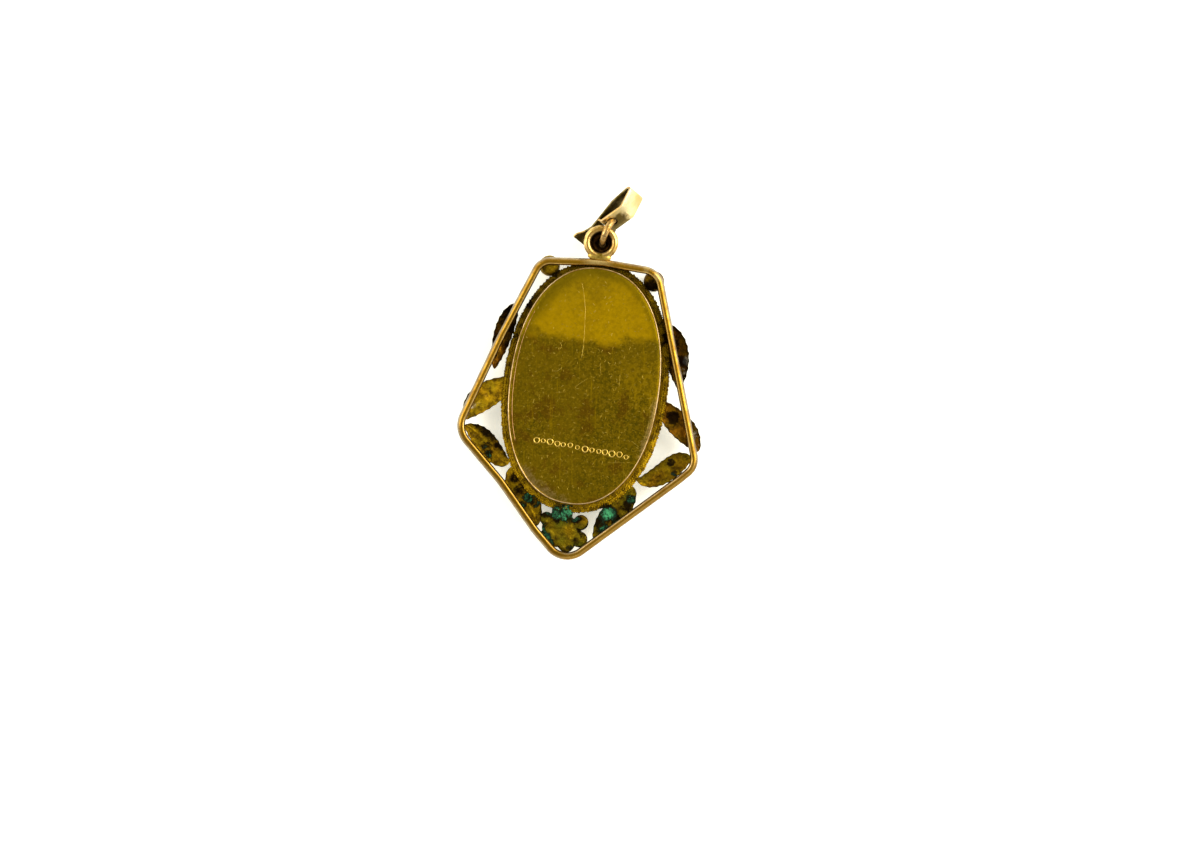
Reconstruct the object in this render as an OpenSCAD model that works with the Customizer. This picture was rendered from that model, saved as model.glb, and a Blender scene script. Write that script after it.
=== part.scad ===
// Oval opal doublet pendant, lying face down with its back plate upwards.
// The bail points to +Y. The bosses and the berries touch the ground at z = 0.

/* [Cup] */
// Half of the back plate's length
plate_half_len = 10.72; // [10.5:0.02:10.9]
// Half of the back plate's width
plate_half_wid = 6.76; // [6.6:0.02:6.84]
// Squareness of the oval, where 2 is a true ellipse
oval_power = 2.2; // [2:0.05:2.4]
// Turn of the oval in the frame, in degrees
oval_turn = -1.1; // [-1.6:0.1:0]
// Height of the back plate's outer face
plate_top = 3.05; // [2.95:0.05:3.2]
// Thickness of the back plate and of the cup's wall
wall = 0.35; // [0.3:0.05:0.4]
// Height of the bezel's front edge
bezel_front = 0.50; // [0.4:0.05:0.55]
// Thickness of the bezel's turned-in lip
lip_thick = 0.32; // [0.25:0.01:0.32]
// How far the lip reaches over the opal
lip_reach = 0.40; // [0.3:0.05:0.45]

/* [Doublet] */
// Gap between the doublet and the metal round it
stone_gap = 0.05; // [0.03:0.01:0.08]
// Radius of the opal's dome across the pendant
dome_across = 20; // [19.5:0.5:22]
// Radius of the opal's dome along the pendant
dome_along = 53; // [52:1:56]
// Height of the dome's lowest point from the ground
dome_low = 0.06; // [0.04:0.02:0.08]
// Height of the cemented joint between opal and backing
joint_height = 1.62; // [1.5:0.02:1.7]

/* [Milled border] */
// Half of the border's length
border_half_len = 11.38; // [11.2:0.02:11.44]
// Half of the border's width
border_half_wid = 7.46; // [7.4:0.02:7.5]
// Depth of one scallop of the border's edge
scallop = 0.08; // [0.04:0.02:0.12]
// Number of scallops round the border
scallop_count = 72; // [48:4:80]
// Height of the border's front face
border_front = 1.35; // [1.2:0.05:1.45]

/* [Wire frame] */
// Width of the frame's wire
wire_wid = 0.70; // [0.62:0.02:0.74]
// Height of the frame's front face
wire_front = 2.10; // [2.05:0.01:2.12]
// Height of the frame's back face
wire_back = 2.80; // [2.7:0.05:2.9]

/* [Leaves and berries] */
// Height of the leaves' flat backs
leaf_back = 2.15; // [2.14:0.01:2.2]
// Radius of the leaves' rounded fronts
leaf_round = 1.60; // [1.55:0.05:1.8]
// Height of a leaf's crest in front
leaf_crest = 1.00; // [0.9:0.05:1.1]
// Depth of the hollow in a leaf's back
leaf_hollow = 0.28; // [0.2:0.02:0.34]
// Width of the rim round the hollow
leaf_rim = 0.24; // [0.2:0.02:0.3]
// Height of one tooth of a leaf's edge
tooth = 0.06; // [0:0.01:0.08]
// Radius of a corner boss
boss_r = 0.93; // [0.88:0.01:0.98]

/* [Rings] */
// Mean radius of the fixed ring
fixed_ring_r = 1.24; // [1.22:0.01:1.26]
// Wire radius of the fixed ring
fixed_wire_r = 0.305; // [0.29:0.005:0.31]
// Mean radius of the jump ring
jump_ring_r = 1.255; // [1.25:0.005:1.26]
// Wire radius of the jump ring
jump_wire_r = 0.273; // [0.26:0.001:0.275]
// Turn of the jump ring's axis about Z, in degrees
jump_turn = -17.3; // [-17.8:0.1:-16.8]
// Lean of the jump ring's axis from Z, in degrees
jump_lean = 79.8; // [79.4:0.1:80.2]

/* [Bail] */
// Width of the bail's strip
strip_wid = 2.04; // [2.02:0.01:2.06]
// Thickness of the bail's strip
strip_thick = 0.20; // [0.16:0.01:0.2]
// Length of the bail's front plate
front_plate_len = 6.59; // [6.4:0.05:6.8]
// Radius of the hole that the jump ring passes through
ring_hole_r = 0.62; // [0.61:0.01:0.63]
// Turn of the bail about Z, in degrees
bail_turn = 151; // [150.6:0.1:151.4]
// Lean of the bail from its edge, in degrees
bail_lean = 43.9; // [43.5:0.1:44.3]
// Turn of the bail's front plate about its own loop axis, in degrees
bail_spin = 72.7; // [72.3:0.1:73.1]

/* [Hidden] */

// Place of the cup's centre from the origin, which lies below the middle of the whole pendant
cup_place = [-0.05, -1.24, 0];
// Steps round an oval, and round a turned piece
oval_steps = 96;
turned_steps = 64;

// Corners and slight bends of the frame's centre line, clockwise from the top left: x, y, radius
corner_x = 0;
corner_y = 1;
corner_r = 2;
frame_corners = [
  [-5.26, 10.73, 1.4],
  [ 0.19, 11.22, 8],
  [ 5.31, 10.98, 1.65],
  [10.84, -5.93, 1.6],
  [ 9.45, -7.37, 8],
  [ 0.09, -16.13, 2],
  [-2.85, -13.42, 8],
  [-6.47, -9.40, 8],
  [-10.94, -5.25, 2.1],
  [-7.93,  3.77, 20],
];
corner_steps = 8;

// Leaves, as root x, root y, tip x, tip y, then the left side's width and
// where along the leaf it is widest, and the same for the right side
root_x = 0;
root_y = 1;
tip_x = 2;
tip_y = 3;
left_wid = 4;
left_peak = 5;
right_wid = 6;
right_peak = 7;
leaf_table = [
  [-6.78,  6.65, -8.26,   0.52, 0.50, 0.50, 1.30, 0.38],
  [-6.07,  0.13, -10.45, -4.35, 0.80, 0.40, 1.72, 0.58],
  [-5.80, -7.60, -10.30, -4.80, 1.22, 0.30, 1.06, 0.63],
  [-5.64, -7.99, -2.69, -13.02, 1.20, 0.60, 1.36, 0.40],
  [ 5.39, -8.41,  2.51, -13.69, 1.28, 0.38, 1.08, 0.55],
  [ 5.58, -7.73, 10.39,  -5.19, 0.92, 0.74, 1.45, 0.38],
  [ 6.87, -0.27, 10.93,  -4.62, 1.24, 0.60, 1.15, 0.40],
  [ 6.55,  6.43,  8.45,   0.71, 1.62, 0.42, 0.62, 0.50],
];
leaf_bluntness = 0.62;
leaf_teeth = 9;

// Berries of the bottom cluster, from the two at the cup to the lowest one: x, y, radius
bead_x = 0;
bead_y = 1;
bead_r = 2;
middle_berry = 2;
berries = [
  [-1.97, -12.28, 0.60],
  [ 1.18, -12.27, 0.68],
  [-0.20, -12.95, 0.80],
  [-1.72, -13.92, 0.72],
  [ 1.23, -13.80, 0.72],
  [-0.85, -14.12, 0.62],
  [ 0.08, -14.35, 0.76],
];
// Middle and width of the stem above the berries
stem_x = -0.60;
stem_wid = 1.90;
// Bosses at the frame's top corners: x, y
bosses = [[-4.46, 10.42], [5.06, 10.16]];
// Thickness and radius of the sheet that joins the berries
sheet_thick = 0.5;
sheet_r = 1.45;
// Middle of the border, a little off the cup's
border_place = [0.08, -0.10, 0];
// Centres of the two rings
fixed_ring_place = [-0.10, 13.00, 2.45];
jump_ring_place = [0.45, 13.99, 1.87];
// Top fold of the bail, on its upper edge
bail_place = [1.60, 18.14, 2.91];

// Bends of the strip behind the bail's front plate, as distances along and off the plate
fold = [0, 0];
shoulder = [1.38, 1.24];
foot = [3.65, 0.90];
seat = [3.90, 0];
// Outline of the front plate: distance along it, share of the strip's width
plate_rows = [
  [0, 1], [0.28, 1], [0.43, 0.77], [0.57, 0.55], [0.73, 0.33],
  [0.80, 0.42], [0.87, 0.62], [0.93, 0.92], [0.97, 0.99], [1, 0.94],
];
// Place of the ring hole: distance from the shoulder, depth from the upper edge
ring_hole = [1.56, 0.96];
// Depths from the upper edge where the closing tab starts and ends
tab_from = 0.49;
tab_to = 1.26;

gilt = [0.62, 0.47, 0.12];
bright_gilt = [0.90, 0.76, 0.42];
opal_colour = [0.72, 0.84, 0.86];
backing_colour = [0.07, 0.07, 0.09];

// Point of an oval at an angle, from its half width and half length
function power_of(value) = sign(value) * pow(abs(value), 2 / oval_power);
function oval_point(angle, half_wid, half_len) = [half_wid * power_of(cos(angle)), half_len * power_of(sin(angle))];
function cup_outline(grow) = [
  for (step = [0 : oval_steps - 1])
    oval_point(360 * step / oval_steps, plate_half_wid + grow, plate_half_len + grow)
];

// Table from distance round the border to angle, so that the scallops are evenly spaced
function border_point(angle, inset) = oval_point(angle, border_half_wid - inset, border_half_len - inset);
border_lengths = [
  for (step = 0, run = 0; step <= oval_steps;
       run = run + norm(border_point(360 * (step + 1) / oval_steps, 0) - border_point(360 * step / oval_steps, 0)),
       step = step + 1)
    [run, 360 * step / oval_steps]
];
border_length = border_lengths[oval_steps][0];
scallop_steps = 4 * scallop_count;
function border_outline() = [
  for (step = [0 : scallop_steps - 1])
    let (angle = lookup(border_length * step / scallop_steps, border_lengths))
    border_point(angle, scallop * abs(cos(180 * step * scallop_count / scallop_steps)))
];

// Rounded outline through the frame's corners, moved outwards by a distance
function unit(v) = v / norm(v);
function angle_of(v) = atan2(v[1], v[0]);
function corner_point(index) =
  let (row = frame_corners[(index + len(frame_corners)) % len(frame_corners)])
  [row[corner_x], row[corner_y]];
function outward(index) =
  let (run = unit(corner_point(index + 1) - corner_point(index)))
  [-run[1], run[0]];
function frame_outline(out) = [
  for (index = [0 : len(frame_corners) - 1])
    let (
      before = outward(index - 1),
      after = outward(index),
      // 1 where the outline turns inwards, as at every true corner, and -1 where it bends the other way
      side = before[0] * after[1] - before[1] * after[0] < 0 ? 1 : -1,
      radius = frame_corners[index][corner_r],
      middle = unit(before + after),
      centre = corner_point(index) - side * middle * radius / (middle * before),
      first = angle_of(before),
      turn = angle_of(after) - first,
      sweep = turn > 180 ? turn - 360 : turn < -180 ? turn + 360 : turn,
      steps = radius > 4 ? 2 : corner_steps
    )
    for (step = [0 : steps])
      let (angle = first + sweep * step / steps)
      centre + side * (radius + side * out) * [cos(angle), sin(angle)]
];

// Half width of a leaf at a share of its length
function leaf_reach(share, widest) =
  pow(max(0, sin(180 * pow(share, ln(0.5) / ln(widest)))), leaf_bluntness);
function tooth_at(share) = tooth * abs(cos(180 * leaf_teeth * share));
function root_of(row) = [row[root_x], row[root_y]];
function tip_of(row) = [row[tip_x], row[tip_y]];
function leaf_side(row, side, inset) =
  let (
    root = root_of(row),
    tip = tip_of(row),
    run = unit(tip - root),
    across = side * [-run[1], run[0]],
    width = side > 0 ? row[left_wid] : row[right_wid],
    widest = side > 0 ? row[left_peak] : row[right_peak],
    steps = 2 * leaf_teeth
  )
  [
    for (step = [1 : steps - 1])
      let (share = step / steps)
      root + (tip - root) * (inset + (1 - 2 * inset) * share)
      + across * max(0.1, (width - 4 * inset * width) * leaf_reach(share, widest) - (inset > 0 ? 0 : tooth_at(share)))
  ];
function reversed(list) = [for (index = [len(list) - 1 : -1 : 0]) list[index]];
function leaf_outline(row, inset) = concat(
  [root_of(row) + (tip_of(row) - root_of(row)) * inset],
  leaf_side(row, 1, inset),
  [tip_of(row) - (tip_of(row) - root_of(row)) * inset],
  reversed(leaf_side(row, -1, inset))
);

module slab(outline, low, high) {
  translate([0, 0, low])
    linear_extrude(high - low)
      polygon(outline);
}

module oval_slab(grow, low, high) {
  rotate(oval_turn)
    slab(cup_outline(grow), low, high);
}

// The closed cup, its back plate and the bezel's turned-in lip
module cup() {
  difference() {
    oval_slab(0, bezel_front, plate_top);
    oval_slab(-wall, bezel_front + lip_thick, plate_top - wall);
    oval_slab(-wall - lip_reach, bezel_front - 1, bezel_front + lip_thick + 0.1);
  }
}

module border() {
  translate(border_place)
    rotate(oval_turn)
      slab(border_outline(), border_front, leaf_back);
}

module wire_frame() {
  difference() {
    slab(frame_outline(wire_wid / 2), wire_front, wire_back);
    slab(frame_outline(-wire_wid / 2), wire_front - 1, wire_back + 1);
  }
}

// One leaf: rounded in front, flat behind with a shallow hollow
module leaf(row) {
  root = root_of(row);
  tip = tip_of(row);
  run = norm(tip - root);
  heading = atan2(tip[1] - root[1], tip[0] - root[0]);
  rounding_centre = leaf_crest + leaf_round;
  difference() {
    intersection() {
      slab(leaf_outline(row, 0), leaf_crest - 1, leaf_back);
      translate([root[0], root[1], rounding_centre])
        rotate([0, 90, heading])
          rotate(180)
            translate([0, 0, -run / 2])
              cylinder(r = leaf_round, h = 2 * run, $fn = turned_steps);
    }
    slab(leaf_outline(row, leaf_rim / 2), leaf_back - leaf_hollow, leaf_back + 1);
  }
}

module leaves() {
  for (row = leaf_table)
    leaf(row);
}

// A bead that is round in front, where it touches the ground, and flat behind
module bead(place, radius) {
  translate([place[bead_x], place[bead_y], radius])
    rotate_extrude($fn = turned_steps)
      intersection() {
        union() {
          circle(r = radius, $fn = turned_steps);
          square([radius, leaf_back - radius]);
        }
        translate([0, -radius])
          square([radius, leaf_back]);
      }
}

module cluster() {
  middle = berries[middle_berry];
  for (row = berries)
    bead(row, row[bead_r]);
  // Sheet that joins the berries, and the stem that solders it to the border
  translate([middle[bead_x] - 0.2, middle[bead_y] - 0.2, leaf_back - sheet_thick])
    cylinder(r = sheet_r, h = sheet_thick, $fn = turned_steps);
  translate([stem_x - stem_wid / 2, middle[bead_y], leaf_back - sheet_thick])
    cube([stem_wid, 2.2, sheet_thick]);
}

module corner_bosses() {
  for (place = bosses)
    bead(place, boss_r);
}

// Ring soldered to the top of the frame, with its small foot
module fixed_ring() {
  translate(fixed_ring_place)
    rotate_extrude($fn = turned_steps)
      translate([fixed_ring_r, 0])
        circle(r = fixed_wire_r, $fn = 32);
  translate([fixed_ring_place[0] - 1.3, 11.35, wire_front + 0.05])
    cube([2.6, 0.5, wire_back - wire_front - 0.1]);
}

module setting() {
  color(gilt)
    translate(cup_place) {
      cup();
      wire_frame();
      fixed_ring();
      corner_bosses();
      // What is soldered round the cup stops inside its wall
      difference() {
        union() {
          border();
          cluster();
          leaves();
        }
        oval_slab(-wall / 2, 0, plate_top);
      }
    }
}

// Thin opal slice: an oval slab under a low dome that is rounder across than along
module opal() {
  color(opal_colour)
    translate(cup_place)
      intersection() {
        oval_slab(-wall - stone_gap, -1, joint_height);
        rotate(oval_turn)
          translate([0, 0, dome_low + dome_along])
            rotate([0, 90, 0])
              rotate([0, 0, -15])
                rotate_extrude(angle = 30, $fn = 360)
                  translate([dome_along - dome_across, 0])
                    circle(r = dome_across, $fn = 240);
      }
}

// Dark layer cemented behind the opal
module backing() {
  color(backing_colour)
    translate(cup_place)
      oval_slab(-wall - stone_gap, joint_height + 0.02, plate_top - wall - stone_gap);
}

module jump_ring() {
  color(bright_gilt)
    translate(cup_place + jump_ring_place)
      rotate([0, jump_lean, jump_turn])
        rotate_extrude($fn = turned_steps)
          translate([jump_ring_r, 0])
            circle(r = jump_wire_r, $fn = 32);
}

// A straight stretch of strip from one bend to the next, with rounded folds
module strip(from, to, high, low) {
  run = to - from;
  translate([from[0], from[1], -low])
    rotate(atan2(run[1], run[0]))
      translate([0, -strip_thick / 2, 0])
        cube([norm(run), strip_thick, low - high]);
  translate([to[0], to[1], -low])
    cylinder(r = strip_thick / 2, h = low - high, $fn = 32);
}

module front_plate() {
  middle = -strip_wid / 2;
  upper = [for (row = plate_rows) [row[0] * front_plate_len, middle + row[1] * strip_wid / 2]];
  lower = [for (row = plate_rows) [row[0] * front_plate_len, middle - row[1] * strip_wid / 2]];
  translate([0, strip_thick / 2, 0])
    rotate([90, 0, 0])
      linear_extrude(strip_thick)
        polygon(concat(upper, reversed(lower)));
  translate([0, 0, -strip_wid])
    cylinder(r = strip_thick / 2, h = strip_wid, $fn = 32);
}

module bail() {
  panel = foot - shoulder;
  color(bright_gilt)
    translate(cup_place + bail_place)
      rotate([0, bail_lean, bail_turn])
        rotate(bail_spin)
          difference() {
            union() {
              front_plate();
              strip(fold, shoulder, 0, strip_wid);
              strip(shoulder, foot, 0, strip_wid);
              strip(foot, seat, tab_from, tab_to);
            }
            translate([shoulder[0], shoulder[1], -ring_hole[1]])
              rotate(atan2(panel[1], panel[0]))
                translate([ring_hole[0], 0, 0])
                  rotate([90, 0, 0])
                    cylinder(r = ring_hole_r, h = 3 * strip_thick, center = true, $fn = turned_steps);
          }
}

setting();
opal();
backing();
jump_ring();
bail();
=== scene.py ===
import math

import bmesh
import bpy
from mathutils import Matrix, Vector, noise as hills


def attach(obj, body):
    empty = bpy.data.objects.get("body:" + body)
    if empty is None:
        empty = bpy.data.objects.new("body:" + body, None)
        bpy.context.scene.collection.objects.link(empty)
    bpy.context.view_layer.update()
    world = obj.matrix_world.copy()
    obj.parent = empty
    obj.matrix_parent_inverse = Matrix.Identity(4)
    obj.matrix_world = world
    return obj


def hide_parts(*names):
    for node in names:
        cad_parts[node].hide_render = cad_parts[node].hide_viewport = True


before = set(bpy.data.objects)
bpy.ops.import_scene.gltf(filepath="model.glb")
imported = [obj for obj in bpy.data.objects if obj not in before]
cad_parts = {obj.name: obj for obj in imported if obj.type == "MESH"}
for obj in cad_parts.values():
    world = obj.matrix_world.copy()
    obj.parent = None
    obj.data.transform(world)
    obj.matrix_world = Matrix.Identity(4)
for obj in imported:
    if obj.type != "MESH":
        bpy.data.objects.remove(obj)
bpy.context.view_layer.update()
mm = 0.001
scene = bpy.context.scene

# the cup's centre from the origin, and the oval's turn, as in the solids
setting = {
    "cupX": -0.05, "cupY": -1.24, "ovalTurn": -1.1, "ovalPower": 2.2,
    "halfWid": 6.76, "halfLen": 10.72, "plateTop": 3.05, "leafBack": 2.15, "viewTurn": 7.0,
}


# helpers for places and outlines, in mm about the cup's centre

def toFrame(point):
    # to metres about the origin
    return Vector(((point[0] + setting["cupX"]) * mm, (point[1] + setting["cupY"]) * mm, point[2] * mm))


def fromFrame(point):
    return (point[0] / mm - setting["cupX"], point[1] / mm - setting["cupY"], point[2] / mm)


def turned(x, y, degrees):
    turn = math.radians(degrees)
    return (x * math.cos(turn) - y * math.sin(turn), x * math.sin(turn) + y * math.cos(turn))


def fromView(right, up):
    # from distances to the right and upwards as the camera sees them
    return turned(right, up, setting["viewTurn"])


def toView(x, y):
    return turned(x, y, -setting["viewTurn"])


def ease(value, low, high):
    share = max(0.0, min(1.0, (value - low) / (high - low)))
    return share * share * (3 - 2 * share)


def softArea(right, up, row):
    # row: strength, then where it sets in and where it is full, to the right and upwards in the view
    strength, rightFrom, rightTo, upFrom, upTo = row
    return strength * ease(right, rightFrom, rightTo) * ease(up, upFrom, upTo)


def mottled(x, y, middle, reach, scale, layer):
    # a value that wanders round its middle, from place to place
    return middle + reach * hills.noise((x * scale, y * scale, layer))


def bell(distance, wide):
    return math.exp(-(distance / wide) ** 2)


def circle(count):
    return [2 * math.pi * k / count for k in range(count)]


def quarter(count):
    # angles from 0 to 90 degrees
    return circle(4 * count)[:count + 1]


def roundLoop(place, radius, z, count):
    return [(place[0] + radius * math.cos(t), place[1] + radius * math.sin(t), z) for t in circle(count)]


def signedPower(value, power):
    return math.copysign(abs(value) ** power, value)


def ovalPoint(angle, halfWid, halfLen):
    share = 2 / setting["ovalPower"]
    return turned(halfWid * signedPower(math.cos(angle), share), halfLen * signedPower(math.sin(angle), share),
                  setting["ovalTurn"])


def evenOval(count, halfWid, halfLen, fineSteps=1440):
    # points spaced evenly along the oval, so that no stretch is coarser than another
    fine = [ovalPoint(2 * math.pi * k / fineSteps, halfWid, halfLen) for k in range(fineSteps + 1)]
    run = [0.0]
    for before, after in zip(fine, fine[1:]):
        run.append(run[-1] + math.dist(before, after))
    points, place = [], 0
    for k in range(count):
        wanted = run[-1] * k / count
        while run[place + 1] < wanted:
            place += 1
        share = (wanted - run[place]) / (run[place + 1] - run[place])
        points.append(tuple(a + (b - a) * share for a, b in zip(fine[place], fine[place + 1])))
    return points


def plateOval(count, inset=0.0):
    return evenOval(count, setting["halfWid"] - inset, setting["halfLen"] - inset)


def ovalShare(x, y):
    # 0 at the middle of the plate and 1 at its edge
    across, along = turned(x, y, -setting["ovalTurn"])
    power = setting["ovalPower"]
    return (abs(across / setting["halfWid"]) ** power + abs(along / setting["halfLen"]) ** power) ** (1 / power)


def smoothLine(points, gap=0.25):
    # the same line with points close together
    fine = []
    for before, after in zip(points, points[1:]):
        parts = max(1, round(math.dist(before, after) / gap))
        fine += [tuple(a + (b - a) * part / parts for a, b in zip(before, after)) for part in range(parts)]
    return fine + [points[-1]]


# helpers for meshes

def addObject(name, data):
    obj = bpy.data.objects.new(name, data)
    scene.collection.objects.link(obj)
    return obj


def writeMarks(mesh, rows, domain="POINT"):
    # rows: one dictionary of named values for each point or face
    for label in rows[0]:
        layer = mesh.attributes.new(label, "FLOAT", domain)
        layer.data.foreach_set("value", [row[label] for row in rows])


def faceOutwards(mesh):
    bm = bmesh.new()
    bm.from_mesh(mesh)
    bmesh.ops.recalc_face_normals(bm, faces=bm.faces)
    bm.to_mesh(mesh)
    bm.free()
    return mesh


def newMesh(points, faces, edges=()):
    mesh = bpy.data.meshes.new("part")
    mesh.from_pydata(points, edges, faces)
    return mesh


def buildMesh(points, faces, marks=None):
    mesh = faceOutwards(newMesh([toFrame(p) for p in points], faces))
    if marks:
        writeMarks(mesh, marks)
    return mesh


def pathMesh(points, closed=True):
    count = len(points)
    edges = [(k, (k + 1) % count) for k in range(count if closed else count - 1)]
    return newMesh([toFrame(p) for p in points], [], edges)


def joinMeshes(meshes):
    bm = bmesh.new()
    for mesh in meshes:
        bm.from_mesh(mesh)
    joined = bpy.data.meshes.new("joined")
    bm.to_mesh(joined)
    bm.free()
    return joined


def settle(carrier):
    # what the object's modifiers make of it, as a plain mesh
    mesh = bpy.data.meshes.new_from_object(carrier.evaluated_get(bpy.context.evaluated_depsgraph_get()))
    carrier.modifiers.clear()
    bpy.data.objects.remove(carrier)
    return mesh


def setDown(mesh, look):
    # turns the mesh and moves it to its place
    turns = [Matrix.Rotation(math.radians(look[label]), 4, axis)
             for label, axis in (("turn", "Z"), ("lean", "Y"), ("spin", "Z"))]
    mesh.transform(Matrix.Translation(toFrame(look["place"])) @ turns[0] @ turns[1] @ turns[2])


def addPiece(name, mesh, material, smoothAngle=180, nodes=("setting",)):
    # what the piece is made of, moves with and stands for
    mesh.name = name
    obj = addObject(name, mesh)
    mesh.materials.clear()
    mesh.materials.append(material)
    mesh.shade_smooth()
    if smoothAngle < 180:
        mesh.set_sharp_from_angle(angle=math.radians(smoothAngle))
    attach(obj, "root")
    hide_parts(*nodes)
    print("piece", name, len(mesh.polygons), "faces")


def stitch(rings, closeRings=False):
    # quads between rings that have the same number of points
    points = [p for ring in rings for p in ring]
    count, rows = len(rings[0]), len(rings)
    faces = []
    for row in range(rows if closeRings else rows - 1):
        low, high = row * count, ((row + 1) % rows) * count
        for k in range(count):
            after = (k + 1) % count
            faces.append((low + k, low + after, high + after, high + k))
    return points, faces


def capEnds(points, faces, count, first, last):
    # closes the first and the last ring with a fan each
    start = len(points) - count
    for middle, base in ((first, 0), (last, start)):
        points.append(middle)
        tip = len(points) - 1
        faces += [(base + k, base + (k + 1) % count, tip) for k in range(count)]
    return points, faces


def shrinking(outline, shares, heightAt):
    # smaller copies of the outline, one inside the other, with each point at its own height
    return [[(x * share, y * share, heightAt(x * share, y * share)) for x, y in outline] for share in shares]


def ovalLoft(profile, steps, halfWid, halfLen, middle=(0, 0)):
    # profile: distance outwards and height, going round the section
    rings = []
    for grow, z in profile:
        outline = evenOval(steps, halfWid + grow, halfLen + grow)
        rings.append([(x + middle[0], y + middle[1], z) for x, y in outline])
    return stitch(rings, True)


# helpers for nodes

def feed(node, inputs):
    # gives inputs, by name or number, a plain value or the output of another node
    for label, source in dict(inputs).items():
        if isinstance(source, bpy.types.NodeSocket):
            node.id_data.links.new(source, node.inputs[label])
        else:
            node.inputs[label].default_value = source


def addNode(tree, kind, inputs=(), **settings):
    node = tree.nodes.new(kind)
    for label, value in settings.items():
        setattr(node, label, value)
    feed(node, inputs)
    return node.outputs


def newTree(name, kind, inputs, outputs):
    # inputs and outputs: the kind of socket for each name
    tree = bpy.data.node_groups.new(name, kind + "NodeTree")
    for way, sockets in (("INPUT", inputs), ("OUTPUT", outputs)):
        for label, socket in sockets.items():
            tree.interface.new_socket(label, in_out=way, socket_type="NodeSocket" + socket)
    return tree, tree.nodes.new("NodeGroupInput").outputs, tree.nodes.new("NodeGroupOutput")


# node trees for wire and for small things that repeat

def geometryTree(name, sockets):
    return newTree(name, "Geometry", {"Geometry": "Geometry", **sockets, "Material": "Material"},
                   {"Geometry": "Geometry"})


def endTree(tree, given, end, mesh):
    paint = addNode(tree, "GeometryNodeSetMaterial", {"Geometry": mesh, "Material": given["Material"]})
    feed(end, {"Geometry": paint[0]})
    return tree


def runTree(base, tree, values):
    # runs a tree on a mesh and keeps the result as a plain mesh
    carrier = addObject("carrier", base)
    modifier = carrier.modifiers.new("made", "NODES")
    modifier.node_group = tree
    for item in tree.interface.items_tree:
        if item.in_out == "INPUT" and item.name in values:
            modifier[item.identifier] = values[item.name]
    return settle(carrier)


def randomFloat(tree, low, high, seed):
    return addNode(tree, "FunctionNodeRandomValue", {2: low, 3: high, "Seed": seed}, data_type="FLOAT")[1]


def randomShift(tree, reach, seed):
    # a random vector within plus or minus the reach
    back = addNode(tree, "ShaderNodeVectorMath", {0: reach, "Scale": -1}, operation="SCALE")[0]
    return addNode(tree, "FunctionNodeRandomValue", {
        0: back, 1: reach, "Seed": seed}, data_type="FLOAT_VECTOR")[0]


def spacedPoints(tree, given):
    # a count of points along the path, each a little out of line
    curve = addNode(tree, "GeometryNodeMeshToCurve", {"Mesh": given["Geometry"]})[0]
    spaced = addNode(tree, "GeometryNodeResampleCurve", {"Curve": curve, "Count": given["Count"]})[0]
    points = addNode(tree, "GeometryNodeCurveToPoints", {"Curve": spaced}, mode="EVALUATED")[0]
    shift = randomShift(tree, given["Jitter"], given["Seed"])
    return addNode(tree, "GeometryNodeSetPosition", {"Geometry": points, "Offset": shift})[0]


def putOn(tree, inputs, least, seed):
    # one instance on each point, each of its own size
    scale = randomFloat(tree, least, 1.0, seed)
    put = addNode(tree, "GeometryNodeInstanceOnPoints", {**inputs, "Scale": scale})[0]
    return addNode(tree, "GeometryNodeRealizeInstances", {"Geometry": put})[0]


def ball(tree, radius):
    return addNode(tree, "GeometryNodeMeshIcoSphere", {"Radius": radius, "Subdivisions": 2})[0]


def tubeAlong(tree, curve, radius, steps, caps=False):
    section = addNode(tree, "GeometryNodeCurvePrimitiveCircle", {"Radius": radius, "Resolution": steps})[0]
    return addNode(tree, "GeometryNodeCurveToMesh", {
        "Curve": curve, "Profile Curve": section, "Fill Caps": caps})[0]


def beadTree():
    # small grains set along a path
    tree, given, end = geometryTree("grainsAlongPath", {
        "Count": "Int", "Grain Radius": "Float", "Least Size": "Float", "Jitter": "Vector", "Seed": "Int"})
    grains = {"Points": spacedPoints(tree, given), "Instance": ball(tree, given["Grain Radius"])}
    return endTree(tree, given, end, putOn(tree, grains, given["Least Size"], given["Seed"]))


def sliverTree():
    # short thin slivers strewn over a face
    tree, given, end = geometryTree("sliversOnFace", {
        "Density": "Float", "Half Length": "Float", "Shape": "Vector", "Turn": "Vector", "Least Size": "Float",
        "Seed": "Int"})
    points = addNode(tree, "GeometryNodeDistributePointsOnFaces", {
        "Mesh": given["Geometry"], "Density": given["Density"], "Seed": given["Seed"]})[0]
    thin = addNode(tree, "GeometryNodeTransform", {
        "Geometry": ball(tree, given["Half Length"]), "Scale": given["Shape"]})[0]
    slivers = {"Points": points, "Instance": thin, "Rotation": randomShift(tree, given["Turn"], given["Seed"])}
    return endTree(tree, given, end, putOn(tree, slivers, given["Least Size"], given["Seed"]))


def punchTree():
    # ring-shaped burrs, as a round punch throws up, set along a path
    tree, given, end = geometryTree("punchMarks", {
        "Count": "Int", "Punch Radius": "Float", "Burr Radius": "Float", "Least Size": "Float",
        "Jitter": "Vector", "Seed": "Int"})
    ring = addNode(tree, "GeometryNodeCurvePrimitiveCircle", {
        "Radius": given["Punch Radius"], "Resolution": 32})[0]
    burrs = {"Points": spacedPoints(tree, given), "Instance": tubeAlong(tree, ring, given["Burr Radius"], 8)}
    return endTree(tree, given, end, putOn(tree, burrs, given["Least Size"], given["Seed"]))


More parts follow.
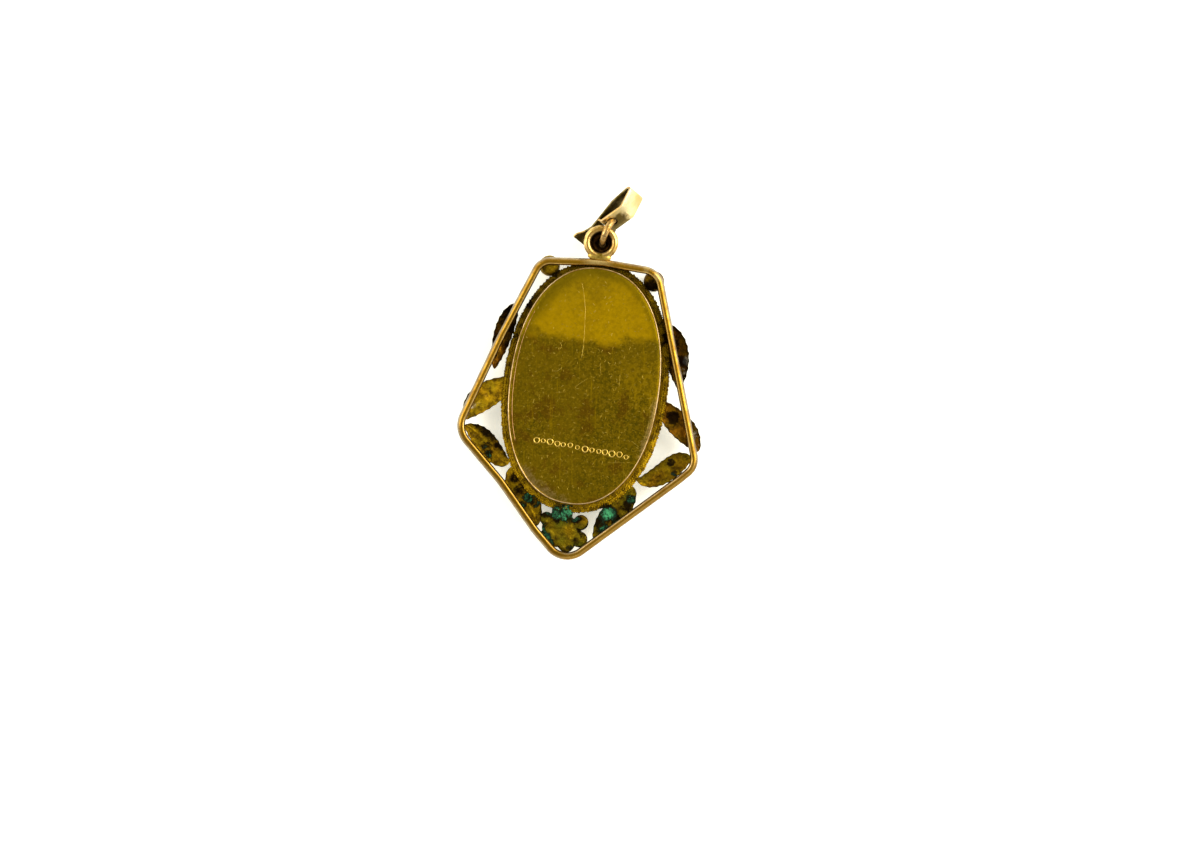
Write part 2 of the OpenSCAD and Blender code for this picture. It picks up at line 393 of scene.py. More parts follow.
def ringTree():
    # a round ring of wire, cut once where its two ends meet
    tree, given, end = geometryTree("cutWireRing", {
        "Ring Radius": "Float", "Wire Radius": "Float", "Sweep": "Float", "Steps": "Int"})
    arc = addNode(tree, "GeometryNodeCurveArc", mode="RADIUS", inputs={
        "Resolution": given["Steps"], "Radius": given["Ring Radius"], "Sweep Angle": given["Sweep"]})[0]
    return endTree(tree, given, end, tubeAlong(tree, arc, given["Wire Radius"], 24, True))


grainsAlongPath, sliversOnFace, punchMarks, cutWireRing = beadTree(), sliverTree(), punchTree(), ringTree()
print("trees ready")


# helpers and groups for materials

def tone(red, green, blue, light=0.78):
    # base colour that shows as this display colour where the surface mirrors the overhead light
    return (*(min(1.0, ((v / 255 + 0.055) / 1.055) ** 2.4 / light) for v in (red, green, blue)), 1.0)


def treeOf(items):
    # the node tree that the items belong to
    return next(item.id_data for item in items if isinstance(item, bpy.types.NodeSocket))


def calc(operation, *items, clamp=False):
    return addNode(treeOf(items), "ShaderNodeMath", enumerate(items), operation=operation, use_clamp=clamp)[0]


def plus(first, second, clamp=False):
    return calc("ADD", first, second, clamp=clamp)


def times(first, *others, clamp=False):
    for other in others:
        first = calc("MULTIPLY", first, other, clamp=clamp)
    return first


def swing(grain, reach):
    # a noise as plus or minus, with the reach given
    return times(calc("SUBTRACT", grain, 0.5), reach)


def mixColour(share, first, second, blend="MIX"):
    items = (share, first, second)
    return addNode(treeOf(items), "ShaderNodeMix", zip((0, 6, 7), items), data_type="RGBA", blend_type=blend)[2]


def placeIn(tree):
    return addNode(tree, "ShaderNodeTexCoord")["Object"]


def noiseAt(place, scale, detail, roughness):
    return addNode(place.id_data, "ShaderNodeTexNoise", {
        "Vector": place, "Scale": scale, "Detail": detail, "Roughness": roughness})["Fac"]


def spread(value, low, high, toLow=0.0, toHigh=1.0):
    return addNode(value.id_data, "ShaderNodeMapRange", {
        "Value": value, "From Min": low, "From Max": high, "To Min": toLow, "To Max": toHigh},
        interpolation_type="SMOOTHSTEP")["Result"]


def tarnishGroup():
    # gilding that has gone dark in patches, with fine pits and paler worn grains
    tree, given, end = newTree("agedGilding", "Shader", {
        "Gold": "Color", "Dark": "Color", "Worn": "Color", "Patch Scale": "Float", "Darkening": "Float",
        "Wear": "Float"}, {"Color": "Color", "Roughness": "Float", "Height": "Float"})
    place = placeIn(tree)
    patch = noiseAt(place, given["Patch Scale"], 5, 0.65)
    fine = noiseAt(place, 5200, 3, 0.7)
    dark = times(spread(patch, 0.42, 0.66), given["Darkening"], clamp=True)
    flecks = times(spread(fine, 0.56, 0.70), given["Wear"], clamp=True)
    feed(end, {
        "Color": mixColour(flecks, mixColour(dark, given["Gold"], given["Dark"]), given["Worn"]),
        "Roughness": plus(times(dark, 0.25), times(fine, 0.12)), "Height": plus(fine, times(patch, 0.7))})
    return tree


def scratchGroup():
    # fine straight hairlines
    tree, given, end = newTree("hairlines", "Shader", {
        "Amount": "Float", "Across": "Float", "Along": "Float", "Turn": "Vector"}, {"Mask": "Float"})
    turnedPlace = addNode(tree, "ShaderNodeVectorRotate", rotation_type="EULER_XYZ",
                          inputs={"Vector": placeIn(tree), "Rotation": given["Turn"]})[0]
    parts = addNode(tree, "ShaderNodeSeparateXYZ", {0: turnedPlace})
    stretched = addNode(tree, "ShaderNodeCombineXYZ", {
        0: times(parts[0], given["Across"]), 1: times(parts[1], given["Along"])})[0]
    lines = noiseAt(stretched, 1.0, 3, 0.75)
    feed(end, {"Mask": times(spread(lines, 0.56, 0.72), given["Amount"], clamp=True)})
    return tree


def crustGroup():
    # ragged black tarnish, green salts and bare grey patches where the marks say, over a given colour
    tree, given, end = newTree("sootAndSalts", "Shader", {
        "Base": "Color", "Soot": "Float", "Green": "Float", "Pale": "Float"},
        {"Color": "Color", "Metal": "Float", "Crust": "Float"})
    place = placeIn(tree)
    fibre = noiseAt(place, 5200, 5, 0.8)
    ragged = plus(swing(noiseAt(place, 1150, 6, 0.68), 3.2), swing(fibre, 1.2))
    # the salts grow out of black tarnish
    black = calc("MAXIMUM", given["Soot"], times(given["Green"], 1.25))
    sooty = spread(plus(times(black, 1.15), times(ragged, 0.85)), 0.42, 0.95)
    crust = spread(plus(given["Green"], ragged), 0.55, 0.95)
    bleak = spread(plus(given["Pale"], ragged), 0.45, 1.2)
    colour = mixColour(bleak, given["Base"], tone(168, 162, 140))
    colour = mixColour(times(sooty, 0.94), colour, tone(20, 11, 4))
    depth = plus(given["Green"], times(fibre, 1.6))
    salts = mixColour(spread(depth, 1.45, 2.1), tone(2, 40, 22), tone(78, 172, 116))
    feed(end, {
        "Color": mixColour(times(crust, 0.92), colour, salts), "Crust": calc("MAXIMUM", crust, sooty),
        "Metal": calc("SUBTRACT", 1.0, times(calc("MAXIMUM", crust, bleak), 0.35), clamp=True)})
    return tree


agedGilding, hairlines, sootAndSalts = tarnishGroup(), scratchGroup(), crustGroup()


def newMaterial(name):
    material = bpy.data.materials.new(name)
    material.use_nodes = True
    return material, material.node_tree


def useGroup(tree, group, inputs):
    return addNode(tree, "ShaderNodeGroup", inputs, node_tree=group)


def readMark(tree, label):
    return addNode(tree, "ShaderNodeAttribute", attribute_name=label)["Fac"]


def finishShader(tree, colour, rough, height, depth, metal=1.0):
    bump = addNode(tree, "ShaderNodeBump", {"Height": height, "Distance": depth})[0]
    feed(tree.nodes["Principled BSDF"], {
        "Base Color": colour, "Roughness": rough, "Metallic": metal, "Normal": bump})


def giltLook(gold, dark, worn, scale, darkening, wear, gloss, pitDepth):
    # inputs of the gilding group, how dull the metal is and how deep its pits are, in metres
    inputs = {"Dark": tone(*dark), "Worn": tone(*worn), "Patch Scale": scale, "Darkening": darkening,
              "Wear": wear}
    if gold:
        inputs["Gold"] = tone(*gold)
    return {"inputs": inputs, "gloss": gloss, "pitDepth": pitDepth}


def gildingOf(tree, look, gold=None):
    return useGroup(tree, agedGilding, {**look["inputs"], **({"Gold": gold} if gold else {})})


def finishGilt(tree, look, gilding, colour, duller=0.0, metal=1.0):
    rough = plus(plus(gilding["Roughness"], duller), look["gloss"], clamp=True)
    finishShader(tree, colour, rough, gilding["Height"], look["pitDepth"], metal)


def plainGilt(name, look):
    # one worn gilding all over
    material, tree = newMaterial(name)
    gilding = gildingOf(tree, look)
    finishGilt(tree, look, gilding, gilding["Color"])
    return material


def markedGilt(name, look, tones):
    # gilding whose tone, painted light and shade, soot and salts follow the marks on the mesh
    material, tree = newMaterial(name)
    mark = readMark(tree, "warm")
    cool = mixColour(times(mark, 2.0, clamp=True), tones["moss"], tones["olive"])
    warm = mixColour(calc("MULTIPLY_ADD", mark, 2.0, -1.0, clamp=True), cool, tones["russet"])
    # the lit mark paints light and shade into the colour
    lit = mixColour(readMark(tree, "lit"), tones["shade"], tones["light"])
    gilding = gildingOf(tree, look, mixColour(1.0, warm, lit, "MULTIPLY"))
    crust = useGroup(tree, sootAndSalts, {
        "Base": gilding["Color"],
        **{label: readMark(tree, label.lower()) for label in ("Soot", "Green", "Pale")}})
    finishGilt(tree, look, gilding, crust["Color"], times(crust["Crust"], 0.35), crust["Metal"])
    return material


# the back plate

plate = {
    "rings": 60, "steps": 240, "inset": 0.12, "edgeDrop": 0.10, "edgeRate": 14, "dish": 0.025, "sunk": 0.02,
    "under": 0.30,
    # low waves: height, waves across and along in radians for each mm, and where the first one starts
    "wave": (0.010, 0.9, 0.55, 1.3),
    # gold and upper: colours of the painted reflection; dull: the plate outside it
    "gold": tone(178, 141, 3), "upper": tone(156, 126, 10), "dull": tone(116, 93, 6), "moss": tone(78, 68, 4),
    "brown": tone(94, 66, 6), "fleck": tone(150, 122, 26), "copper": (176, 132, 84), "haze": tone(142, 118, 76),
    "rough": 0.27, "pitDepth": 0.000004,
    # noises: scale, detail, roughness
    "noises": {"blotch": (480, 5, 0.62), "speck": (3100, 5, 0.8), "fine": (6200, 3, 0.7),
               "broad": (190, 2, 0.5)},
    # the painted reflection: the bright half, its wavy lower edge and its slow fading upwards
    "band": (3.5, 4.9), "fade": (10.8, 6.2), "slope": 0.07, "fadeSlope": 0.4, "waves": (3.0, 3.6),
    # specks and blotches: where they set in and are full, and how strong they are
    "calm": (0.0, 1.0, 0.85, 0.22), "drift": (0.35, 0.65, 0.4, 1.0), "dots": (0.56, 0.40),
    "blotches": ((0.50, 0.64), 0.9), "flecks": ((0.55, 0.69), 0.8), "edgeShade": 0.62, "hairShade": 0.22,
    "hazy": ((0.45, 1.35), 0.7), "hazeRags": (2.2, 0.7),
    # the painted shade along the upper edge: shares of the oval where it sets in and is full, from where
    # upwards it shows, and the soft area to the left where it is wider
    "edgeFrom": (0.88, 0.97), "edgeUp": (1.0, 5.0), "edgeWider": (0.12, 0.0, 3.5, 4.0, 7.0),
    # a weaker painted reflection right of the middle: place, where it sets in and is full, and its strength
    "patch": ((5.4, -0.3, 3.0), (3.4, 0.6), 0.30),
    "streaks": {"Amount": 0.36, "Across": 3600.0, "Along": 150.0},
    "hairs": {"Amount": 1.0, "Across": 7000.0, "Along": 1100.0, "Turn": (0, 0, 0.75)},
    # rubbed stretches of the rim: a soft area, then the shares of the oval where it sets in and is full
    "hazes": [((1.0, 4.2, 5.2, -0.6, -1.6), (0.84, 0.98)), ((0.9, -1.5, -3.0, -6.4, -7.6), (0.82, 0.97)),
              ((0.8, -0.5, -2.0, -9.0, -9.9), (0.85, 0.97)), ((0.5, -4.0, -5.0, -6.0, -4.0), (0.93, 0.99))],
    # strokes as points to the right and up in the view, then a half width
    "strokes": [
        ([(-0.23, 9.30), (-0.02, 8.05), (0.08, 6.85), (0.0, 4.9), (-0.10, 3.5), (-0.28, 2.4)], 0.032),
        ([(-2.93, 1.35), (-2.45, 1.33), (-2.0, 1.68)], 0.030),
        ([(-0.96, -0.18), (-0.3, 0.3), (0.27, 0.65)], 0.018),
        ([(1.40, 2.10), (1.49, 0.95)], 0.018), ([(-2.60, -0.58), (-1.65, -0.53)], 0.020),
        ([(-2.2, 4.0), (-2.05, 3.6), (-2.25, 3.2)], 0.022), ([(4.1, -4.86), (5.1, -5.65)], 0.016),
        ([(4.3, -5.9), (5.0, -5.8)], 0.015), ([(5.67, -2.25), (6.15, -1.5)], 0.028),
        ([(5.6, -1.15), (6.2, -1.05)], 0.022), ([(2.1, -6.9), (3.6, -6.9)], 0.018),
        ([(3.5, -9.0), (3.75, -7.9)], 0.014), ([(5.3, -5.0), (5.85, -3.2)], 0.014),
        ([(-4.3, -0.5), (-4.0, -1.4)], 0.014), ([(3.1, -0.2), (3.2, 1.1)], 0.014),
        ([(-3.3, -2.6), (-2.5, -2.75)], 0.014),
    ],
    "strokeLift": 0.006,
    "wearLine": {"inset": 0.42, "from": 146, "to": 212, "half": 0.034, "lift": 0.008, "steps": 60},
    # a row of round punch marks, from its left end to its right end in the view
    "punches": {"from": (-4.35, -4.85), "to": (3.75, -6.35), "count": 14, "radius": 0.27, "burr": 0.058,
                "least": 0.6, "jitter": (0.06, 0.10, 0.0), "seed": 12, "lift": 0.006, "gap": 0.4,
                "flatter": 0.45},
    "slivers": {"Density": 2.4e6, "Half Length": 0.15 * mm, "Shape": (1.0, 0.16, 0.035),
                "Turn": (0.0, 0.0, 1.57), "Least Size": 0.25, "Seed": 21},
    # the rings of the face that the slivers are strewn over, and the points of each
    "sliverShares": (0.94, 0.75, 0.5, 0.25, 0.05), "sliverSteps": 60,
}


def plateHeight(x, y):
    share = ovalShare(x, y)
    near = min(1.0, max(0.0, 1 - share) * plate["edgeRate"])
    high, across, along, start = plate["wave"]
    wave = high * math.sin(x * across + start) * math.sin(y * along)
    top = setting["plateTop"] - plate["sunk"]
    return top - plate["dish"] * (1 - min(1, share) ** 4) - plate["edgeDrop"] * (1 - near) ** 2 + wave


def plateMaterial():
    material, tree = newMaterial("polishedPlateWithPaintedReflection")
    place = placeIn(tree)
    turn = math.radians(-setting["viewTurn"])
    shift = Matrix.Rotation(turn, 3, "Z") @ Vector((-setting["cupX"], -setting["cupY"], 0))
    grid = addNode(tree, "ShaderNodeMapping", {
        "Vector": place, "Location": shift, "Rotation": (0, 0, turn), "Scale": (1000, 1000, 1000)},
        vector_type="POINT")[0]
    view = addNode(tree, "ShaderNodeSeparateXYZ", {0: grid})
    blotch, speck, fine, broad = (noiseAt(place, *row) for row in plate["noises"].values())
    # painted reflection: a bright half that fades upwards and a weaker bright patch, over the dull plate
    wobble = plus(swing(blotch, plate["waves"][0]), swing(broad, plate["waves"][1]))
    level = plus(plus(view[1], times(view[0], plate["slope"])), wobble)
    band = spread(level, *plate["band"])
    fade = spread(calc("SUBTRACT", level, times(view[0], plate["fadeSlope"])), *plate["fade"])
    middle, reach, strength = plate["patch"]
    far = addNode(tree, "ShaderNodeVectorMath", {0: grid, 1: middle}, operation="DISTANCE")["Value"]
    patch = times(spread(plus(far, wobble), *reach), strength)
    bright = mixColour(fade, plate["upper"], plate["gold"])
    colour = mixColour(calc("MAXIMUM", band, patch), plate["dull"], bright)
    # the bright half has fewer specks
    calm = spread(band, *plate["calm"])
    dots = times(spread(speck, *plate["dots"]), calm, spread(broad, *plate["drift"]))
    blotches, flecks = (times(spread(grain, *plate[label][0]), times(calm, plate[label][1]))
                        for grain, label in ((blotch, "blotches"), (fine, "flecks")))
    streaks = useGroup(tree, hairlines, {**plate["streaks"], "Turn": (0, 0, turn)})["Mask"]
    hairs = useGroup(tree, hairlines, plate["hairs"])["Mask"]
    # painted shade along the upper edge of the plate
    edge = times(readMark(tree, "edge"), plate["edgeShade"])
    rags = plus(swing(speck, plate["hazeRags"][0]), times(hairs, plate["hazeRags"][1]))
    hazy = times(spread(plus(readMark(tree, "haze"), rags), *plate["hazy"][0]), plate["hazy"][1])
    for share, label in ((dots, "moss"), (blotches, "brown"), (flecks, "fleck"), (streaks, "gold"),
                         (edge, "moss"), (hazy, "haze"), (times(hairs, plate["hairShade"]), "fleck")):
        colour = mixColour(share, colour, plate[label])
    rough = plus(times(speck, 0.12), plate["rough"])
    finishShader(tree, colour, rough, calc("SUBTRACT", speck, hairs), plate["pitDepth"])
    return material


def plateMark(x, y):
    share = ovalShare(x, y)
    right, up = toView(x, y)
    start, full = plate["edgeFrom"]
    start -= softArea(-right, up, plate["edgeWider"])
    haze = max(softArea(right, up, row) * ease(share, *rim) for row, rim in plate["hazes"])
    # edge: painted shade along the upper edge
    return {"edge": ease(up, *plate["edgeUp"]) * ease(share, start, full), "haze": haze}


def sliverAlong(points, half, lift, pinch=0.35, sunk=0.004, under=0.02):
    # a low closed sliver that lies along the plate
    rings = []
    for k, point in enumerate(points):
        before, after = points[max(0, k - 1)], points[min(len(points) - 1, k + 1)]
        run = math.dist(before, after)
        across = ((before[1] - after[1]) / run, (after[0] - before[0]) / run)
        wide = half * (pinch if k in (0, len(points) - 1) else 1.0)
        z = plateHeight(*point)
        rings.append([(point[0] + across[0] * wide * side, point[1] + across[1] * wide * side, z + rise)
                      for side, rise in ((-1, -sunk), (0, lift), (1, -sunk), (0, -under))])
    points, faces = stitch(rings)
    faces += [(3, 2, 1, 0), tuple(len(points) - 4 + k for k in range(4))]
    return buildMesh(points, faces)


def makePlate():
    outer = plateOval(plate["steps"], plate["inset"])
    under = setting["plateTop"] - plate["under"]
    shares = [1 - row / (plate["rings"] + 1) for row in range(plate["rings"] + 1)]
    points, faces = stitch([[(x, y, under) for x, y in outer]] + shrinking(outer, shares, plateHeight))
    capEnds(points, faces, len(outer), (0, 0, under), (0, 0, plateHeight(0, 0)))
    marks = [plateMark(x, y) for x, y, z in points]
    addPiece("backPlate", buildMesh(points, faces, marks), plateMaterial(), 35)


def makeScratches():
    hair = plainGilt("scratchGilt", giltLook(
        (164, 138, 56), (116, 93, 14), (190, 166, 96), 1500.0, 0.9, 0.4, 0.3, plate["pitDepth"]))
    meshes = [sliverAlong(smoothLine([fromView(*point) for point in stroke]), half, plate["strokeLift"])
              for stroke, half in plate["strokes"]]
    base = buildMesh(*stitch(shrinking(plateOval(plate["sliverSteps"]), plate["sliverShares"], plateHeight)))
    meshes.append(runTree(base, sliversOnFace, {**plate["slivers"], "Material": hair}))
    addPiece("plateScratches", joinMeshes(meshes), hair)
    worn = plainGilt("wornEdge", giltLook(
        plate["copper"], (120, 88, 22), (196, 160, 120), 900.0, 0.95, 0.3, 0.25, plate["pitDepth"]))
    line = plate["wearLine"]
    halves = setting["halfWid"] - line["inset"], setting["halfLen"] - line["inset"]
    path = [ovalPoint(math.radians(line["from"] + (line["to"] - line["from"]) * k / line["steps"]), *halves)
            for k in range(line["steps"] + 1)]
    addPiece("wearLine", sliverAlong(path, line["half"], line["lift"]), worn)


def makePunches():
    row = plate["punches"]
    bright = plainGilt("burrGilt", giltLook(
        (206, 172, 78), (132, 102, 14), (236, 208, 130), 2500.0, 0.6, 0.5, 0.2, plate["pitDepth"]))
    ends = [fromView(*row["from"]), fromView(*row["to"])]
    path = [(x, y, plateHeight(x, y) + row["lift"]) for x, y in smoothLine(ends, row["gap"])]
    marks = runTree(pathMesh(path, False), punchMarks, {
        "Count": row["count"], "Punch Radius": row["radius"] * mm, "Burr Radius": row["burr"] * mm,
        "Least Size": row["least"], "Jitter": [v * mm for v in row["jitter"]], "Seed": row["seed"],
        "Material": bright})
    for vertex in marks.vertices:
        # the burrs hug the plate
        x, y, z = fromFrame(vertex.co)
        flat = plateHeight(x, y)
        vertex.co = toFrame((x, y, flat + (z - flat) * row["flatter"]))
    addPiece("punchRow", marks, bright)


makePlate()
makeScratches()
makePunches()


# the cup's wall with its front lip, and the burnished rim round the plate

cup = {
    "steps": 240, "wall": 0.35, "front": 0.50, "lip": 0.32, "reach": 0.40,
    # section outside, outwards from the oval: the back edge from the plate's top, the front edge from the front
    "backEdge": [(-0.10, -0.05), (-0.03, -0.08), (0.0, -0.2)],
    "frontEdge": [(0.0, 0.3), (-0.03, 0.14), (-0.12, 0.03), (-0.28, 0.0)],
    # the rounding of the lip's inner edge, and how the inner wall ends under the plate
    "lipEdge": [(0.1, 0.06), (0.0, 0.16)], "inside": -0.16, "shoulder": (-0.2, -0.1),
    # the rim: half its width, its rise, the inset and depth of its middle, points round its section
    "rimHalf": 0.050, "rimUp": 0.012, "rimIn": 0.085, "rimDown": 0.07, "rimSteps": 14,
    "look": giltLook((118, 92, 12), (48, 34, 4), (184, 150, 60), 700.0, 0.8, 0.3, 0.3, 0.00001),
    "rimLook": giltLook((190, 162, 116), (124, 92, 34), (240, 218, 178), 420.0, 1.0, 0.45, 0.25, 0.000004),
}


def makeCup():
    top, front, down = setting["plateTop"], cup["front"], cup["rimDown"]
    wallIn, lipIn = -cup["wall"], -cup["wall"] - cup["reach"]
    profile = [(out, top + rise) for out, rise in cup["backEdge"]]
    profile += [(out, front + rise) for out, rise in cup["frontEdge"]]
    profile += [(lipIn + out, front + rise) for out, rise in cup["lipEdge"]]
    profile += [(lipIn, front + cup["lip"]), (wallIn, front + cup["lip"]), (wallIn, top + cup["inside"]),
                (cup["shoulder"][0], top + cup["shoulder"][1])]
    rim = [(-cup["rimIn"] + cup["rimHalf"] * math.cos(a), top - down + (down + cup["rimUp"]) * math.sin(a))
           for a in circle(cup["rimSteps"])]
    for name, section, material, angle in (
            ("cupWall", profile, plainGilt("cupGilt", cup["look"]), 40),
            ("plateRim", rim, plainGilt("rimGilt", cup["rimLook"]), 180)):
        wall = ovalLoft(section, cup["steps"], setting["halfWid"], setting["halfLen"])
        addPiece(name, buildMesh(*wall), material, angle)


makeCup()


# black tarnish, green salts and bare grey patches on the soldered metal, as x, y, reach

stains = {
    "soot": [
        (-7.9, 5.6, 1.1), (-7.1, 4.4, 0.9), (-7.2, 2.9, 0.6), (-6.6, 6.9, 0.7), (-9.1, -4.4, 0.65),
        (-8.3, -4.9, 0.75), (-7.5, -5.4, 0.8), (-6.8, -6.1, 0.75), (-6.2, -6.8, 0.6), (-8.0, -6.5, 0.55),
        (-7.7, -7.3, 0.5), (-5.2, -9.0, 0.6), (-4.6, -9.8, 0.7), (3.2, -10.6, 0.9), (4.2, -11.6, 0.8),
        (5.0, -10.3, 0.7), (2.9, -12.2, 0.8), (-2.1, -11.7, 0.8), (-1.0, -12.1, 0.8), (0.7, -12.0, 0.6),
        (1.5, -13.4, 0.45), (0.9, -14.0, 0.4), (7.4, 4.7, 1.0), (8.1, 3.2, 0.9), (7.9, 0.9, 0.6),
        (8.3, -1.9, 0.8), (7.9, -2.7, 0.6), (6.9, -1.0, 0.5), (8.6, -5.9, 0.4), (4.9, 9.7, 0.7)],
    "green": [
        (3.5, -11.2, 0.95), (3.2, -12.4, 0.6), (-1.7, -11.6, 0.45), (-1.15, -11.85, 0.6), (-0.5, -11.9, 0.65),
        (0.1, -11.75, 0.6), (0.5, -11.95, 0.5), (-0.1, -11.25, 0.8), (-2.3, -13.4, 0.6), (-1.9, -14.0, 0.6),
        (-1.4, -14.5, 0.5), (-2.2, -12.8, 0.4), (-3.8, -10.6, 0.6), (-3.2, -11.0, 0.5), (-7.8, -7.1, 0.5),
        (-8.3, -6.4, 0.35), (5.4, -9.6, 0.5), (-4.2, -11.3, 0.4), (9.0, -6.8, 0.3), (0.4, -14.6, 0.3)],
    "pale": [
        (-10.2, -2.9, 0.6), (-10.4, -3.8, 0.5), (10.5, -3.4, 0.6), (10.7, -4.2, 0.5), (8.9, 3.4, 0.5),
        (8.6, 2.4, 0.4), (9.7, -2.2, 0.4)],
}


def reachOf(spots, x, y, full=1.35, least=0.35, rate=0.75):
    # small patches are weaker than wide ones
    return max([0.0] + [min(1.0, full - math.dist((x, y), spot[:2]) / spot[2], least + rate * spot[2])
                        for spot in spots])


def marksAt(x, y, lit, warm):
    return {"lit": max(0.0, min(1.0, lit)), "warm": warm,
            **{label: reachOf(spots, x, y) for label, spots in stains.items()}}


# the marks of the front, where the gilding is clean
cleanMarks = {"lit": 0.9, "warm": 0.5, **{label: 0.0 for label in stains}}
leafMetal = markedGilt(
    "leafGilt", giltLook(None, (44, 28, 4), (150, 118, 26), 1500.0, 0.8, 0.3, 0.38, 0.00005), {
        "moss": tone(112, 112, 22), "olive": tone(150, 117, 12), "russet": tone(128, 70, 14),
        "shade": (0.14, 0.14, 0.14, 1), "light": (1.25, 1.25, 1.25, 1)})


# the milled border round the cup

border = {
    "halfLen": 11.38, "halfWid": 7.46, "middle": (0.08, -0.10), "front": 1.35, "back": 2.15, "bandIn": 0.08,
    "steps": 220, "pathSteps": 360,
    # section: outwards, and height from the back or from the front
    "backEdge": [(-0.72, -0.10), (-0.45, -0.04), (-0.12, -0.04), (-0.03, -0.10), (0.0, -0.25)],
    "frontEdge": [(0.0, 0.2), (-0.05, 0.08), (-0.2, 0.05), (-0.72, 0.05)],
    # distance outwards, height, grain radius, count, seed
    "rows": [(-0.12, 2.02, 0.14, 300, 3), (-0.31, 2.07, 0.13, 300, 8), (-0.49, 2.05, 0.12, 280, 15),
             (-0.16, 1.46, 0.20, 150, 11)],
    "jitter": (0.035, 0.035, 0.025), "least": 0.55,
    # how much painted light it gets, and soft areas of painted light and shade: -99, -98 takes in the whole
    # width
    "lit": 0.42, "warm": 0.46,
    "lights": [(0.34, -99, -98, 2, -8), (-0.28, -99, -98, 2, 7), (0.18, 2, 5, -2, -5), (0.14, -4, -6, 1, -4)],
    # dark and green places: x, y, reach
    "soot": [(5.0, 9.6, 1.0), (-3.9, 9.8, 0.6), (6.9, 5.2, 0.8), (-6.2, 6.9, 0.9), (-7.0, 3.8, 0.6),
             (3.2, -10.9, 0.7)],
    "green": [(-1.1, -11.6, 0.7), (0.1, -11.8, 0.6), (-3.3, -10.7, 0.5)],
}


def borderMark(x, y):
    # painted light and shade by place
    lit = border["lit"] + sum(softArea(*toView(x, y), row) for row in border["lights"])
    return {"lit": max(0.0, min(1.0, lit)), "warm": border["warm"], "soot": reachOf(border["soot"], x, y),
            "pale": 0.0, "green": reachOf(border["green"], x, y)}


def makeBorder():
    middle = border["middle"]
    profile = [(out, border["back"] + rise) for out, rise in border["backEdge"]]
    profile += [(out, border["front"] + rise) for out, rise in border["frontEdge"]]
    points, faces = ovalLoft(profile, border["steps"], border["halfWid"] - border["bandIn"],
                             border["halfLen"] - border["bandIn"], middle)
    addPiece("borderBand", buildMesh(points, faces, [borderMark(x, y) for x, y, z in points]), leafMetal, 50)
    rows = []
    for grow, z, radius, count, seed in border["rows"]:
        path = [(x + middle[0], y + middle[1], z)
                for x, y in evenOval(border["pathSteps"], border["halfWid"] + grow, border["halfLen"] + grow)]
        rows.append(runTree(pathMesh(path), grainsAlongPath, {
            "Count": count, "Grain Radius": radius * mm, "Least Size": border["least"],
            "Jitter": [v * mm for v in border["jitter"]], "Seed": seed, "Material": leafMetal}))
    grains = joinMeshes(rows)
    writeMarks(grains, [borderMark(*fromFrame(v.co)[:2]) for v in grains.vertices])
    addPiece("borderGrains", grains, leafMetal)


makeBorder()


# the wire frame

frameWire = {
    # corners and slight bends of the centre line, clockwise from the top left: x, y, radius
    "corners": [(-5.26, 10.73, 1.4), (0.19, 11.22, 8), (5.31, 10.98, 1.65), (10.84, -5.93, 1.6),
                (9.45, -7.37, 8), (0.09, -16.13, 2), (-2.85, -13.42, 8), (-6.47, -9.40, 8),
                (-10.94, -5.25, 2.1), (-7.93, 3.77, 20)],
    # section: outwards, height
    "section": [(-0.34, 2.30), (-0.35, 2.42), (-0.34, 2.54), (-0.32, 2.61), (-0.29, 2.67), (-0.255, 2.72),
                (-0.22, 2.755), (-0.17, 2.78), (-0.11, 2.80), (-0.03, 2.80), (0.05, 2.79), (0.11, 2.76),
                (0.17, 2.72), (0.23, 2.66), (0.28, 2.60), (0.32, 2.52), (0.35, 2.40), (0.33, 2.25),
                (0.26, 2.14), (0.15, 2.10), (-0.15, 2.10), (-0.27, 2.16)],
    "cornerSteps": 10, "gap": 0.3,
    # where the wire is lit from below and where it lies in shadow: the way that its outside faces in the view,
    # and how well it has to face it
    "litFrom": ((0.55, -0.83), 0.55, 0.85), "shadowFrom": ((-0.75, -0.65), 0.6, 0.95),
    # the two lit lines: middle across the wire, then the half widths where they start to fade and have faded
    # and the heights between which the crown begins
    "innerLine": (-0.25, 0.02, 0.07), "outerLine": (0.11, 0.02, 0.08), "crownFrom": (2.5, 2.6),
    # where the duller tones, painted sheen and painted shade set in and are full, outwards or inwards from the
    # middle
    "duskFrom": ((0.08, 0.2), (0.1, 0.18), (0.2, 0.3)), "greyFrom": ((0.18, 0.3), (0.18, 0.24)),
    "dimFrom": (0.12, 0.3), "innerShadeFrom": (0.28, 0.33),
    # shares of the tones. glow, a painted highlight: lost in shadow, on the outer line, on spots; dim, painted
    # shade: everywhere, more on the lower right side, in shadow; inner shade: on the lower right side,
    # elsewhere
    "glowShares": (0.68, 0.35, 0.8), "duskShare": 0.4, "greyShare": 0.6, "dimShares": (0.4, 0.6, 0.7),
    "innerShadeShares": (0.8, 0.7),
    # glow: painted highlight; grey: painted pale sheen on the outer shoulder; dim and the dark inner tone:
    # painted shade
    "ochre": tone(142, 104, 20), "glow": tone(226, 196, 122, 1.05), "dusk": tone(164, 136, 84, 0.9),
    "grey": tone(180, 166, 142, 1.3), "sooty": tone(70, 46, 8), "dim": (0.5, 0.5, 0.5, 1),
    "look": giltLook(None, (96, 64, 8), (190, 150, 76), 800.0, 0.6, 0.25, 0.2, 0.000006),
    # solder and rubbed spots on the wire: x, y, reach
    "spots": [(5.35, 10.55, 0.35), (-0.2, 11.3, 1.1), (4.2, 11.1, 0.22)],
}


